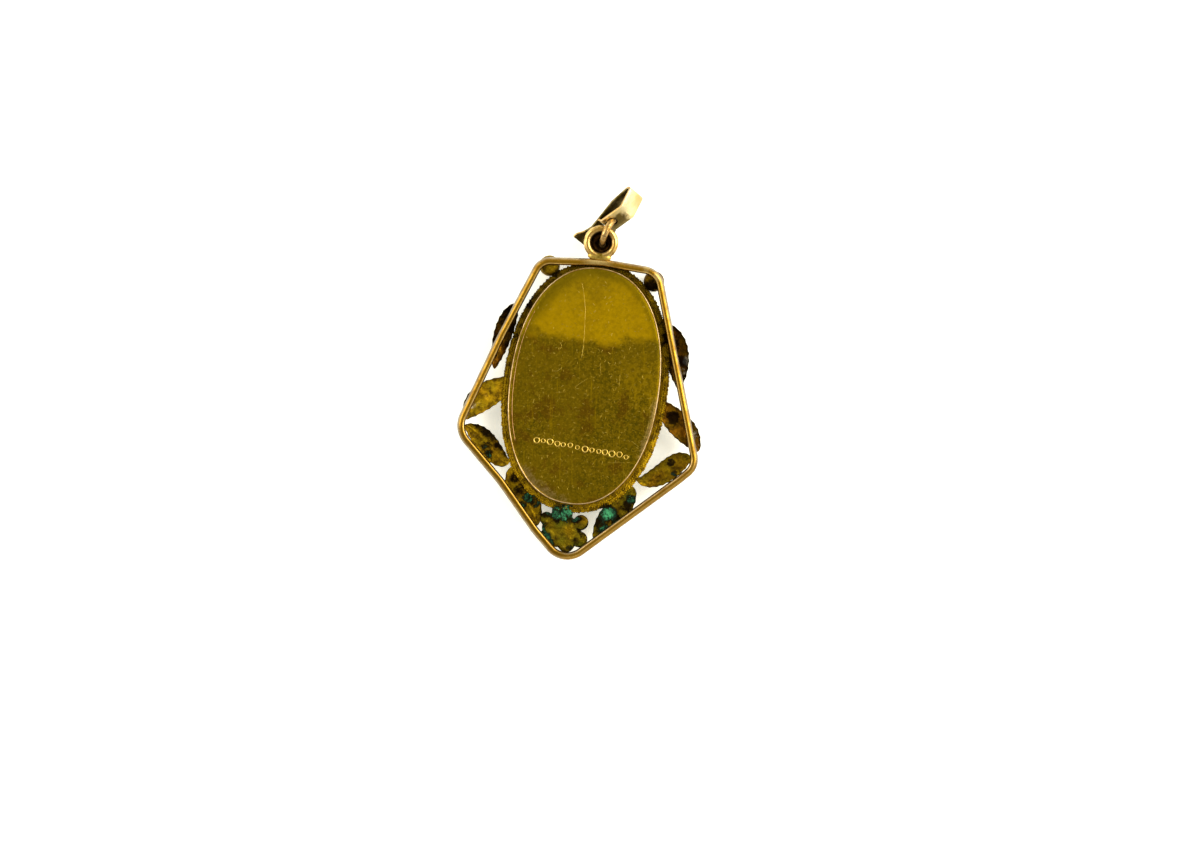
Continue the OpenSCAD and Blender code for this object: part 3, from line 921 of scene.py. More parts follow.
def roundedLoop(corners, steps):
    # the centre line with its corners rounded, as in the solids
    points, count = [], len(corners)
    for k, (x, y, radius) in enumerate(corners):
        corner = Vector((x, y))
        came = (corner - Vector(corners[k - 1][:2])).normalized()
        goes = (Vector(corners[(k + 1) % count][:2]) - corner).normalized()
        before, after = Vector((-came.y, came.x)), Vector((-goes.y, goes.x))
        side = 1 if before.cross(after) < 0 else -1
        middle = (before + after).normalized()
        centre = corner - side * middle * radius / middle.dot(before)
        first = math.atan2(before.y, before.x)
        turn = (math.atan2(after.y, after.x) - first + math.pi) % (2 * math.pi) - math.pi
        for step in range(steps + 1):
            angle = first + turn * step / steps
            points.append(centre + side * radius * Vector((math.cos(angle), math.sin(angle))))
    return points


def evenSteps(points, gap):
    # the same closed line with points no further apart than the gap
    fine = []
    for before, after in zip(points, points[1:] + points[:1]):
        parts = max(1, round((after - before).length / gap))
        fine += [before.lerp(after, part / parts) for part in range(parts)]
    return fine


def wireMaterial():
    material, tree = newMaterial("wireGilt")
    colour = frameWire["ochre"]
    # dusk; grey, a painted pale sheen; dim, painted shade
    for label, blend in (("dusk", "MIX"), ("grey", "MIX"), ("dim", "MULTIPLY")):
        colour = mixColour(readMark(tree, label), colour, frameWire[label], blend)
    gilding = gildingOf(tree, frameWire["look"], colour)
    grain = noiseAt(placeIn(tree), 1400, 4, 0.7)
    # glow: painted highlight lines; then painted shade along the inner edge
    glow = times(readMark(tree, "glow"), spread(grain, 0.30, 0.55, 0.55, 1.0))
    lit = mixColour(glow, gilding["Color"], frameWire["glow"])
    lit = mixColour(readMark(tree, "sooty"), lit, frameWire["sooty"])
    finishGilt(tree, frameWire["look"], gilding, lit)
    return material


def wireMark(wide, z, low, shadow, spot):
    # the share of each tone, painted highlight and painted shade among them, at a point of the section,
    # outwards by wide and z high
    inner, outer = (1 - ease(abs(wide - middle), start, end)
                    for middle, start, end in (frameWire["innerLine"], frameWire["outerLine"]))
    inner *= ease(z, *frameWire["crownFrom"])
    onCrown = z > frameWire["crownFrom"][1]
    dusk, grey = frameWire["duskFrom"], frameWire["greyFrom"]
    lost, outerGlow, spotGlow = frameWire["glowShares"]
    dimAll, dimLow, dimShadow = frameWire["dimShares"]
    shadeLow, shadeUp = frameWire["innerShadeShares"]
    glow = inner * (1 - low) * (1 - lost * shadow) + outerGlow * outer * low + spotGlow * spot * onCrown
    return {
        "glow": min(1.0, glow),
        "dusk": max(ease(wide, *dusk[0]) * (1 - low), low * ease(-wide, *dusk[1]),
                    frameWire["duskShare"] * low * ease(wide, *dusk[2])),
        "grey": max(ease(wide, *grey[0]) * (1 - low), frameWire["greyShare"] * low * ease(-wide, *grey[1])),
        "dim": max(ease(wide, *frameWire["dimFrom"]) * (dimAll + dimLow * low), dimShadow * shadow),
        # painted shade along the inner edge
        "sooty": max(shadeLow * low, shadeUp * (1 - low)) * ease(-wide, *frameWire["innerShadeFrom"])}


def makeFrame():
    line = evenSteps(roundedLoop(frameWire["corners"], frameWire["cornerSteps"]), frameWire["gap"])
    loops, marks, count = [], [], len(line)
    for k, here in enumerate(line):
        run = (line[(k + 1) % count] - line[k - 1]).normalized()
        out = Vector((-run.y, run.x))
        facing = Vector(toView(*out))
        # the lower right side is lit along its outer half, the others along their inner edge
        low, shadow = (ease(facing.dot(Vector(way)), least, most)
                       for way, least, most in (frameWire["litFrom"], frameWire["shadowFrom"]))
        spot = reachOf(frameWire["spots"], here.x, here.y)
        loops.append([(here.x + out.x * wide, here.y + out.y * wide, z) for wide, z in frameWire["section"]])
        marks += [wireMark(wide, z, low, shadow, spot) for wide, z in frameWire["section"]]
    addPiece("frameWire", buildMesh(*stitch(loops, True), marks), wireMaterial())


makeFrame()


# the leaves

leaf = {
    # root x, root y, tip x, tip y, then width and where it is widest, on the left and on the right side,
    # then how much painted light the back gets, how russet it is, and how deep its hollow
    "rows": {
        "leafUpperLeft": (-6.78, 6.65, -8.26, 0.52, 0.50, 0.50, 1.30, 0.38, 0.15, 0.80, 0.9),
        "leafMiddleLeft": (-6.07, 0.13, -10.45, -4.35, 0.80, 0.40, 1.74, 0.58, 0.84, 0.50, 0.5),
        "leafLowerLeft": (-5.80, -7.60, -10.30, -4.80, 1.22, 0.30, 1.06, 0.63, 0.36, 0.55, 0.6),
        "leafBottomLeft": (-5.64, -7.99, -2.69, -13.02, 1.20, 0.60, 1.36, 0.40, 0.34, 0.55, 0.6),
        "leafBottomRight": (5.39, -8.41, 2.51, -13.69, 1.28, 0.38, 1.08, 0.55, 0.24, 0.30, 0.6),
        "leafLowerRight": (5.58, -7.73, 10.39, -5.19, 0.92, 0.74, 1.45, 0.38, 0.27, 0.48, 0.5),
        "leafMiddleRight": (6.87, -0.27, 10.93, -4.62, 1.24, 0.60, 1.15, 0.40, 0.36, 0.76, 0.7),
        "leafUpperRight": (6.55, 6.43, 8.45, 0.71, 1.62, 0.42, 0.62, 0.50, 0.14, 0.80, 1.4),
    },
    "bluntness": 0.62, "teeth": 9, "tooth": 0.07, "long": 60, "wide": 28, "backLow": 0.04, "leastHalf": 0.02,
    # how far the rows stop short of the ends, and how the relief dies away towards them
    "endGap": 0.004, "endRate": 7, "endPower": 0.7,
    # heights of the relief, and half widths of the rib and of the rim's lip
    "hollow": 0.24, "crown": 0.80, "thick": 0.30, "vein": 0.018, "rib": 0.04, "ribWide": 0.10, "lip": 0.03,
    "lipWide": 0.08, "veins": 7, "veinSlant": 1.1,
    # lumps and changes of tone: reach, scale and layer of the noise
    "lump": (0.06, 1.7, 0.3), "tint": (0.30, 0.9, 4.0),
    # painted light: strength at the root and its length there, strength of the spots, then their x, y, reach
    "rootLight": 0.3, "rootLong": 0.14, "rootEnd": 0.16, "sideShade": 0.25, "spotLight": 0.5,
    "litSpots": [(-8.0, 1.9, 0.9), (-8.1, 1.1, 0.7)], "rimDark": 0.75, "rimWide": 0.09,
}


def leafReach(share, widest):
    return max(0.0, math.sin(math.pi * share ** (math.log(0.5) / math.log(widest)))) ** leaf["bluntness"]


def makeLeaf(name, row):
    root, tip = Vector(row[0:2]), Vector(row[2:4])
    leftMost, leftAt, rightMost, rightAt, light, russet, hollow = row[4:]
    run = tip - root
    along = run.normalized()
    left = Vector((-along.y, along.x))
    long, wide, top = leaf["long"], leaf["wide"], setting["leafBack"]
    back, front, marks = [], [], []
    for i in range(long + 1):
        share = leaf["endGap"] + (1 - 2 * leaf["endGap"]) * i / long
        reach = (leftMost * leafReach(share, leftAt), rightMost * leafReach(share, rightAt))
        bite = leaf["tooth"] * abs(math.cos(math.pi * leaf["teeth"] * share))
        total = reach[0] + reach[1]
        full = min(1, total)
        ends = min(1.0, leaf["endRate"] * share, leaf["endRate"] * (1 - share)) ** leaf["endPower"]
        for j in range(wide + 1):
            side = 2 * j / wide - 1
            off = abs(side)
            half = max(leaf["leastHalf"], total / 2 - bite * full)
            spot = root + run * share + left * ((reach[0] - reach[1]) / 2 + side * half)
            wave = math.sin(2 * math.pi * (share * leaf["veins"] - off * leaf["veinSlant"]))
            veins = leaf["vein"] * wave * (1 - off) * ends
            rib = leaf["rib"] * bell(side, leaf["ribWide"]) * ends
            lump = mottled(spot.x, spot.y, 0.0, *leaf["lump"]) * ends * (1 - side ** 4)
            deep = leaf["hollow"] * hollow * (1 - off ** 4) * ends * full
            lip = leaf["lip"] * bell(1 - off, leaf["lipWide"])
            back.append((spot.x, spot.y, top - leaf["backLow"] - deep - veins + rib + lump + lip))
            crown = leaf["crown"] * (1 - side ** 2) ** 0.8 * ends * full
            front.append((spot.x, spot.y, top - leaf["thick"] - crown - 3 * veins - rib))
            # painted light at the root and on the lit spots, and painted shade towards the sides
            bright = leaf["rootLight"] * ease(leaf["rootEnd"] - share, 0.0, leaf["rootLong"])
            bright += leaf["spotLight"] * reachOf(leaf["litSpots"], spot.x, spot.y)
            mark = marksAt(spot.x, spot.y, light * (1 - leaf["sideShade"] * side * side) + bright,
                           mottled(spot.x, spot.y, russet, *leaf["tint"]))
            # the rim of each leaf is made darker
            mark["soot"] = max(mark["soot"], leaf["rimDark"] * bell(1 - off, leaf["rimWide"]))
            marks.append(mark)
    width, count = wide + 1, len(back)
    faces = []
    for i in range(long):
        for j in range(wide):
            a = i * width + j
            faces.append((a, a + 1, a + width + 1, a + width))
            faces.append((count + a, count + a + width, count + a + width + 1, count + a + 1))
    edge = ([(0, j) for j in range(wide)] + [(i, wide) for i in range(long)]
            + [(long, j) for j in range(wide, 0, -1)] + [(i, 0) for i in range(long, 0, -1)])
    ids = [i * width + j for i, j in edge]
    faces += [(b, a, count + a, count + b) for a, b in zip(ids, ids[1:] + ids[:1])]
    addPiece(name, buildMesh(back + front, faces, marks + [cleanMarks] * count), leafMetal, 50)


for leafName, leafRow in leaf["rows"].items():
    makeLeaf(leafName, leafRow)


# berries, bosses and solder

beads = {
    # x, y, radius
    "berries": [(-1.97, -12.28, 0.60), (1.18, -12.27, 0.68), (-0.20, -12.95, 0.80), (-1.72, -13.92, 0.72),
                (1.23, -13.80, 0.72), (-0.85, -14.12, 0.62), (0.08, -14.35, 0.76)],
    "sheets": [(-0.40, -13.15, 1.45), (-1.72, -13.06, 0.56)],
    # left, right, bottom and top of the stem
    "stem": (-1.55, 0.35, -12.95, -10.80),
    # x, y, radius, how much painted light and how russet
    "bosses": [(-4.46, 10.42, 0.93, 0.42, 0.45), (5.06, 10.16, 0.93, 0.18, 0.65)],
    # how rounded the back edges are, and how far the backs lie below the leaves' back
    "bossEase": 0.5, "berryEase": 0.16, "bossLow": 0.02, "berryLow": 0.03, "sheetLow": 0.08, "stemLow": 0.02,
    "steps": 36, "ballSteps": 10, "edgeSteps": 5, "bulge": 0.02, "discSteps": 40, "sheetThick": 0.5,
    "voxel": 0.06, "passes": 5,
    # the casting's rough back, and the heights under which the gilding is clean
    "rough": 0.05, "roughScale": 2.6, "roughAbove": 1.9, "cleanBelow": 1.3, "bossCleanBelow": 1.0,
    # how light and how russet the casting is: middle, reach, scale and layer of the noise
    "lit": (0.28, 0.14, 1.2, 1.0), "warm": (0.25, 0.5, 0.8, 2.0),
    # the dark outer edge of the casting, below this y
    "edgeBelow": -12.0, "edgeDark": 0.8, "edgeWide": 0.16,
}


def makeBead(x, y, radius, backZ, eased):
    # ball-shaped in front and nearly flat behind, with an eased edge
    profile = [(radius * math.sin(a), radius - radius * math.cos(a)) for a in quarter(beads["ballSteps"])[1:]]
    profile += [(radius, 0.5 * (radius + backZ - eased))]
    profile += [(radius - eased + eased * math.cos(a), backZ - eased + eased * math.sin(a))
                for a in quarter(beads["edgeSteps"])]
    points, faces = stitch([roundLoop((x, y), wide, z, beads["steps"]) for wide, z in profile])
    return capEnds(points, faces, beads["steps"], (x, y, 0), (x, y, backZ + beads["bulge"]))


def slab(outline, low, high):
    # a flat plate between two heights
    points, faces = stitch([[(p[0], p[1], z) for p in outline] for z in (low, high)])
    middle = [sum(p[k] for p in outline) / len(outline) for k in (0, 1)]
    return capEnds(points, faces, len(outline), (*middle, low), (*middle, high))


def castingMark(x, y, z):
    if z < beads["cleanBelow"]:
        return cleanMarks
    mark = marksAt(x, y, mottled(x, y, *beads["lit"]), mottled(x, y, *beads["warm"]))
    inside = max(r - math.dist((x, y), (cx, cy)) for cx, cy, r in beads["berries"] + beads["sheets"])
    if y < beads["edgeBelow"]:
        # darker along the outer edge
        mark["soot"] = max(mark["soot"], beads["edgeDark"] * bell(inside, beads["edgeWide"]))
    return mark


def makeCluster():
    back = setting["leafBack"]
    low = back - beads["sheetThick"]
    lumps = [makeBead(x, y, r, back - beads["berryLow"] * (k % 3), beads["berryEase"])
             for k, (x, y, r) in enumerate(beads["berries"])]
    lumps += [slab(roundLoop((x, y), wide, 0, beads["discSteps"]), low, back - beads["sheetLow"])
              for x, y, wide in beads["sheets"]]
    left, right, bottom, top = beads["stem"]
    stem = [(left, bottom), (right, bottom), (right, top), (left, top)]
    lumps.append(slab(stem, low, back - beads["stemLow"]))
    # the separate lumps are run together into one casting
    carrier = addObject("carrier", joinMeshes([buildMesh(*lump) for lump in lumps]))
    joined = carrier.modifiers.new("joined", "REMESH")
    joined.mode, joined.voxel_size = "VOXEL", beads["voxel"] * mm
    soft = carrier.modifiers.new("soft", "SMOOTH")
    soft.iterations, soft.factor = beads["passes"], 0.5
    mesh = settle(carrier)
    marks = []
    for vertex in mesh.vertices:
        x, y, z = fromFrame(vertex.co)
        rough = mottled(x, y, 0.0, beads["rough"], beads["roughScale"], z * beads["roughScale"])
        vertex.co = toFrame((x, y, z + (rough if z > beads["roughAbove"] else 0)))
        marks.append(castingMark(x, y, z))
    writeMarks(mesh, marks)
    addPiece("berryCluster", mesh, leafMetal)


def makeBosses():
    meshes = []
    for x, y, r, lit, warm in beads["bosses"]:
        points, faces = makeBead(x, y, r, setting["leafBack"] - beads["bossLow"], beads["bossEase"])
        meshes.append(buildMesh(points, faces, [
            cleanMarks if z < beads["bossCleanBelow"] else marksAt(px, py, lit, warm) for px, py, z in points]))
    addPiece("cornerBosses", joinMeshes(meshes), leafMetal)


makeCluster()
makeBosses()


# the fixed ring and the jump ring

ringSizes = {
    "fixed": {
        "place": (-0.10, 13.00, 2.45), "turn": 0.0, "lean": 0.0, "spin": -90, "ring": 1.235, "wire": 0.325,
        "sweep": 359.9,
        "look": giltLook(
            (206, 172, 104, 0.9), (120, 86, 18), (244, 216, 140), 1100.0, 0.9, 0.35, 0.18, 0.00001)},
    "jump": {
        "place": (0.45, 13.99, 1.87), "turn": -17.3, "lean": 79.8, "spin": 200, "ring": 1.255, "wire": 0.300,
        "sweep": 359.0,
        "look": giltLook(
            (194, 158, 98, 1.0), (124, 88, 20), (236, 208, 150), 1500.0, 0.8, 0.4, 0.18, 0.00001)},
    # the jump ring gets painted shade below this height, where it goes down through the fixed ring and the bail
    "sunk": 2.5, "sunkEase": (-0.1, 0.2),
    # dark: painted shade; ochre: painted darker reflection along the crown
    "steps": 96, "dark": tone(44, 28, 8), "ochre": tone(160, 118, 26), "crownWide": 0.3, "crownShade": 0.65,
    "innerFrom": (0.55, 0.85), "innerShade": 0.92,
    # the solder under the fixed ring, with the powers that round it off: towards its ends, and along each axis
    "foot": {"place": (-0.08, 11.72, 2.45), "half": (1.06, 0.34, 0.33), "powers": (0.6, 0.7, 0.9, 0.8),
             "rows": 14, "steps": 40,
             "look": giltLook((178, 148, 66), (92, 72, 14), (246, 224, 150), 1000.0, 1.0, 0.5, 0.25, 0.00001)},
    # a dark sheet of painted shade across the fixed ring round the jump ring: place and radius left free,
    # height, half its thickness
    "holeShade": {"free": (0.06, 12.88), "radius": 0.28, "height": 2.2, "half": 0.05, "steps": 64, "under": 0.08,
             "deep": tone(24, 13, 4), "colour": tone(58, 36, 10), "grain": (2600, 5, 0.7), "rough": 0.6,
             "pitDepth": 0.00004},
}


def ringMaterial(name, look):
    # worn gilding with an ochre line of painted darker reflection round its crown, and painted shade round the
    # inside of the ring
    material, tree = newMaterial(name)
    gilding = gildingOf(tree, look)
    crown = times(readMark(tree, "crown"), ringSizes["crownShade"])
    colour = mixColour(crown, gilding["Color"], ringSizes["ochre"])
    deep = times(readMark(tree, "inner"), ringSizes["innerShade"])
    finishGilt(tree, look, gilding, mixColour(deep, colour, ringSizes["dark"]), times(deep, 0.5))
    return material


def makeRing(name, size, materialName, node):
    material = ringMaterial(materialName, size["look"])
    mesh = runTree(pathMesh([(0, 0, 0), (0.1, 0, 0)], False), cutWireRing, {
        "Ring Radius": size["ring"] * mm, "Wire Radius": size["wire"] * mm,
        "Sweep": math.radians(size["sweep"]), "Steps": ringSizes["steps"], "Material": material})
    inward = [(size["ring"] - v.co.xy.length / mm) / size["wire"] for v in mesh.vertices]
    setDown(mesh, size)
    sunk = [ease(ringSizes["sunk"] - fromFrame(v.co)[2], *ringSizes["sunkEase"]) if size["lean"] else 0.0
            for v in mesh.vertices]
    # painted shade round the inside and on the sunk part of the jump ring, painted darker reflection on the
    # crown
    writeMarks(mesh, [{"inner": max(low, ease(share, *ringSizes["innerFrom"])),
                       "crown": (1 - low) * bell(share, ringSizes["crownWide"])}
                      for share, low in zip(inward, sunk)])
    addPiece(name, mesh, material, 60, [node])


def makeFoot():
    # the solder that runs out along the frame under the fixed ring
    foot = ringSizes["foot"]
    (x, y, z), (halfX, halfY, halfZ), steps = foot["place"], foot["half"], foot["steps"]
    endPower, powerX, powerY, powerZ = foot["powers"]
    loops = []
    for row in range(1, foot["rows"]):
        angle = math.pi * row / foot["rows"] - math.pi / 2
        wide = math.cos(angle) ** endPower
        loops.append([(x + halfX * wide * signedPower(math.cos(t), powerX),
                       y + halfY * wide * signedPower(math.sin(t), powerY),
                       z + halfZ * signedPower(math.sin(angle), powerZ)) for t in circle(steps)])
    points, faces = stitch(loops)
    capEnds(points, faces, steps, (x, y, z - halfZ), (x, y, z + halfZ))
    addPiece("ringFoot", buildMesh(points, faces), plainGilt("solderGilt", foot["look"]))


def makeHoleShade():
    # a dark sheet that stands in for the shade inside the fixed ring
    look, fixed = ringSizes["holeShade"], ringSizes["fixed"]
    outer, z, half = fixed["ring"] - fixed["wire"] + look["under"], look["height"], look["half"]
    loops = [roundLoop(place, radius, height, look["steps"]) for place, radius, height in (
        (fixed["place"], outer, z + half), (look["free"], look["radius"], z),
        (fixed["place"], outer, z - half))]
    material, tree = newMaterial("paintedHoleShade")
    grain = noiseAt(placeIn(tree), *look["grain"])
    colour = mixColour(spread(grain, 0.35, 0.65), look["deep"], look["colour"])
    finishShader(tree, colour, look["rough"], grain, look["pitDepth"])
    addPiece("ringHoleShade", buildMesh(*stitch(loops, True)), material)


makeHoleShade()
makeRing("fixedRing", ringSizes["fixed"], "ringGilt", "setting")
makeRing("jumpRing", ringSizes["jump"], "jumpGilt", "jump_ring")
makeFoot()


# the bail: a strip that is folded back behind its front plate, with a hole for the jump ring

bail = {
    "place": (1.60, 18.14, 2.91), "turn": 151, "lean": 43.9, "spin": 72.7,
    "thick": 0.20, "wide": 2.04, "long": 6.59, "gap": 0.3,
    # share of the front plate's length and of half the strip's width
    "plateRows": [(0.10, 1), (0.28, 1), (0.43, 0.77), (0.57, 0.55), (0.73, 0.33), (0.80, 0.42), (0.87, 0.62),
                  (0.93, 0.92), (0.97, 0.99), (1, 0.94)],
    # bends of the strip: along the front plate, off it, bend radius
    "bends": [(-0.74, 0.0, 0.20), (1.38, 1.24, 0.40), (3.65, 0.90, 0.22)], "bendSteps": 8,
    "seat": (3.90, 0.0), "tab": (0.49, 1.26),
    # distance from the second bend, depth, and half the hole's size along and across the strip
    "hole": (1.54, 0.89, 0.36, 0.55), "holeSteps": 48, "cut": 0.4, "ease": 0.045,
    # shade: painted shade beside the hole; inside: painted shade on the faces inside the fold
    "bright": tone(250, 232, 176, 1.15), "warm": tone(246, 196, 140, 1.25), "shade": tone(80, 64, 4),
    "inside": tone(72, 58, 12), "edge": tone(164, 128, 92),
    # where the warm tone and the painted shade beside the hole set in and are full, along and down the strip
    "warmArea": ((1.5, 0.3), (0.5, 1.6)), "shadeArea": ((1.55, 1.95), (0.25, 0.55)),
    # how far the tones of the edge and of the painted shade beside the hole cover the gilding, and how patchy
    # the painted shade inside is
    "cover": 0.9, "insideShade": (0.2, -0.17, 0.75, 1.0),
    # from where to where the front plate is seen from inside, and where the folds to its left and right begin
    "plateFrom": 0.2, "plateTo": 5.4, "leftFold": 0.8, "rightFold": 3.3,
    "look": giltLook(None, (168, 138, 40), (255, 246, 200), 650.0, 0.55, 0.3, 0.2, 0.000008),
}


def bailMaterial():
    material, tree = newMaterial("bailGilt")
    lay = addNode(tree, "ShaderNodeAttribute", attribute_name="lay")["Vector"]
    parts = addNode(tree, "ShaderNodeSeparateXYZ", {0: lay})
    grain = swing(noiseAt(placeIn(tree), 1500, 4, 0.7), 1.2)
    deep, far = plus(parts[2], grain), plus(parts[0], grain)
    # warm toward the far top corner, painted shade beside the hole
    warm, shade = (times(spread(far, *along), spread(deep, *down))
                   for along, down in (bail["warmArea"], bail["shadeArea"]))
    colour = mixColour(warm, bail["bright"], bail["warm"])
    colour = mixColour(times(readMark(tree, "edge"), bail["cover"]), colour, bail["edge"])
    gilding = gildingOf(tree, bail["look"], colour)
    shade = times(shade, readMark(tree, "outside"), bail["cover"])
    colour = mixColour(shade, gilding["Color"], bail["shade"])
    # painted shade on the faces inside the fold, patchy with the grain
    insideShade = times(readMark(tree, "inside"), spread(grain, *bail["insideShade"]))
    finishGilt(tree, bail["look"], gilding, mixColour(insideShade, colour, bail["inside"]), times(insideShade, 0.2))
    return material


def bendArc(before, bend, after):
    # points round one bend of the strip
    corner, radius, steps = Vector(bend[:2]), bend[2], bail["bendSteps"]
    came, goes = (corner - Vector(before[:2])).normalized(), (Vector(after[:2]) - corner).normalized()
    half = came.angle(goes) / 2
    side = 1 if came.cross(goes) > 0 else -1
    centre = corner - came * radius * math.tan(half) + side * radius * Vector((-came.y, came.x))
    arm = Vector((came.y, -came.x)) * side * radius
    return [centre + Matrix.Rotation(side * 2 * half * step / steps, 2) @ arm for step in range(steps + 1)]


def stripStations():
    # middle line of the strip, with the depths of its two edges at each point
    half = bail["wide"] / 2
    outline = [(share * bail["long"], part) for share, part in reversed(bail["plateRows"])]
    stations = [(Vector((along, 0.0)), half - part * half, half + part * half)
                for along, part in smoothLine(outline, bail["gap"])]
    bends = [(bail["long"], 0.0)] + bail["bends"] + [bail["seat"]]
    for before, bend, after in zip(bends, bends[1:], bends[2:]):
        stations += [(point, 0.0, bail["wide"]) for point in bendArc(before, bend, after)]
    last = stations[-1][0]
    return stations + [(last.lerp(Vector(bail["seat"]), share), *bail["tab"]) for share in (0.04, 1.0)]


def endedMesh(loops):
    # the loops joined up, with a flat face at each end
    points, faces = stitch(loops)
    count = len(loops[0])
    faces += [tuple(range(count)), tuple(len(points) - 1 - k for k in range(count))]
    return faceOutwards(newMesh(points, faces))


def stripMesh():
    stations, eased = stripStations(), bail["ease"]
    loops = []
    for k, (point, upper, lower) in enumerate(stations):
        before, after = stations[max(0, k - 1)][0], stations[min(len(stations) - 1, k + 1)][0]
        run = (after - before).normalized()
        out = Vector((-run.y, run.x))
        loops.append([])
        for side, edge, first in ((1, upper, 90), (1, lower, 0), (-1, lower, -90), (-1, upper, 180)):
            inward = 1 if edge == upper else -1
            for step in range(3):
                angle = math.radians(first - 45 * step)
                spot = point + out * (side * (bail["thick"] / 2 - eased) + eased * math.cos(angle))
                depth = edge + inward * eased - eased * math.sin(angle)
                loops[-1].append((spot.x * mm, spot.y * mm, -depth * mm))
    return endedMesh(loops)


def holeCutter():
    shoulder, foot = Vector(bail["bends"][1][:2]), Vector(bail["bends"][2][:2])
    run = (foot - shoulder).normalized()
    out = Vector((-run.y, run.x))
    distance, depth, halfAlong, halfAcross = bail["hole"]
    loops = []
    for rise in (-bail["cut"], bail["cut"]):
        loops.append([])
        for t in circle(bail["holeSteps"]):
            spot = shoulder + run * (distance + halfAlong * math.cos(t)) + out * rise
            loops[-1].append((spot.x * mm, spot.y * mm, (halfAcross * math.sin(t) - depth) * mm))
    return endedMesh(loops)


def bailMark(face):
    middle, facing = face.center / mm, face.normal
    onPlate = middle.y < bail["thick"] * 0.6
    if onPlate and middle.x > bail["plateFrom"]:
        inside = facing.y > 0.6
    else:
        inside = (facing.y < -0.4 or (facing.x < -0.6 and middle.x > bail["rightFold"])
                  or (facing.x > 0.5 and middle.x < bail["leftFold"]))
    edge = abs(facing.z) > 0.6
    # the rim of the front plate gets the same painted shade as its inside
    darkRim = edge and onPlate and bail["plateFrom"] < middle.x < bail["plateTo"]
    return {"inside": float(darkRim or (inside and not edge)), "edge": float(edge and not darkRim),
            "outside": float(facing.y > 0.5)}


def makeBail():
    strip, cutter = addObject("strip", stripMesh()), addObject("cutter", holeCutter())
    cut = strip.modifiers.new("cut", "BOOLEAN")
    cut.operation, cut.solver, cut.object = "DIFFERENCE", "EXACT", cutter
    mesh = settle(strip)
    bpy.data.objects.remove(cutter)
    writeMarks(mesh, [bailMark(face) for face in mesh.polygons], "FACE")
    # where each point lies on the strip before it is turned: along, off and the depth
    lay = mesh.attributes.new("lay", "FLOAT_VECTOR", "POINT")
    lay.data.foreach_set("vector", [v for point in mesh.vertices
                                    for v in (point.co.x / mm, point.co.y / mm, -point.co.z / mm)])
    setDown(mesh, bail)
    addPiece("bailStrip", mesh, bailMaterial(), 30, ["bail"])


makeBail()


# the doublet

doublet = {
    "domeAcross": 20.0, "domeAlong": 53.0, "domeLow": 0.06, "joint": 1.62, "gap": 0.05,
    "rings": 40, "steps": 180,
    # the play of colour, from one cell to the next
    "fire": [(0.0, (0.02, 0.10, 0.28, 1)), (0.25, (0.02, 0.42, 0.40, 1)), (0.45, (0.06, 0.60, 0.24, 1)),
             (0.62, (0.40, 0.62, 0.16, 1)), (0.78, (0.75, 0.35, 0.08, 1)), (0.9, (0.30, 0.12, 0.45, 1)),
             (1.0, (0.04, 0.2, 0.5, 1))],
    "milk": (0.45, 0.62, 0.66, 1), "warp": (0.003, 0.003, 0.003), "cellScale": 620,
    "ground": ((0.012, 0.012, 0.016, 1), (0.05, 0.05, 0.06, 1)),
}


def opalMaterial():
    material, tree = newMaterial("opalFire")
    place = placeIn(tree)
    waves = addNode(tree, "ShaderNodeTexNoise", {"Vector": place, "Scale": 420, "Detail": 4})["Color"]
    warped = {0: waves, 1: doublet["warp"], 2: place}
    moved = addNode(tree, "ShaderNodeVectorMath", warped, operation="MULTIPLY_ADD")[0]
    cells = addNode(tree, "ShaderNodeTexVoronoi", {"Vector": moved, "Scale": doublet["cellScale"]})["Color"]
    picked = addNode(tree, "ShaderNodeSeparateColor", {0: cells})[0]
    hue = addNode(tree, "ShaderNodeValToRGB", {"Fac": picked})[0]
    stops, ramp = doublet["fire"], hue.node.color_ramp.elements
    ramp[0].color, ramp[1].color = stops[0][1], stops[-1][1]
    for position, colour in stops[1:-1]:
        ramp.new(position).color = colour
    milky = mixColour(spread(noiseAt(place, 300, 5, 0.6), 0.35, 0.7), hue, doublet["milk"])
    feed(tree.nodes["Principled BSDF"], {
        "Base Color": milky, "Roughness": 0.10, "Coat Weight": 1.0, "Coat Roughness": 0.03})
    return material


def backingMaterial():
    material, tree = newMaterial("darkBacking")
    grain = noiseAt(placeIn(tree), 900, 5, 0.7)
    finishShader(tree, mixColour(spread(grain, 0.4, 0.65), *doublet["ground"]), 0.35, grain, 0.00001, 0.0)
    return material


def domeHeight(x, y):
    across, along = turned(x, y, -setting["ovalTurn"])
    wide, long = doublet["domeAcross"], doublet["domeAlong"]
    ring = long - wide + math.sqrt(wide ** 2 - across ** 2)
    return doublet["domeLow"] + long - math.sqrt(ring ** 2 - along ** 2)


def makeDoublet():
    outer = plateOval(doublet["steps"], cup["wall"] + doublet["gap"])
    joint, shares = doublet["joint"], [1 - row / doublet["rings"] for row in range(doublet["rings"])]
    points, faces = stitch([[(x, y, joint) for x, y in outer]] + shrinking(outer, shares, domeHeight))
    capEnds(points, faces, len(outer), (0, 0, joint), (0, 0, domeHeight(0, 0)))
    addPiece("opalSlice", buildMesh(points, faces), opalMaterial(), 40, ["opal"])
    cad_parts["backing"].material_slots[0].material = backingMaterial()


makeDoublet()
print("pendant ready")


# floor, light and camera

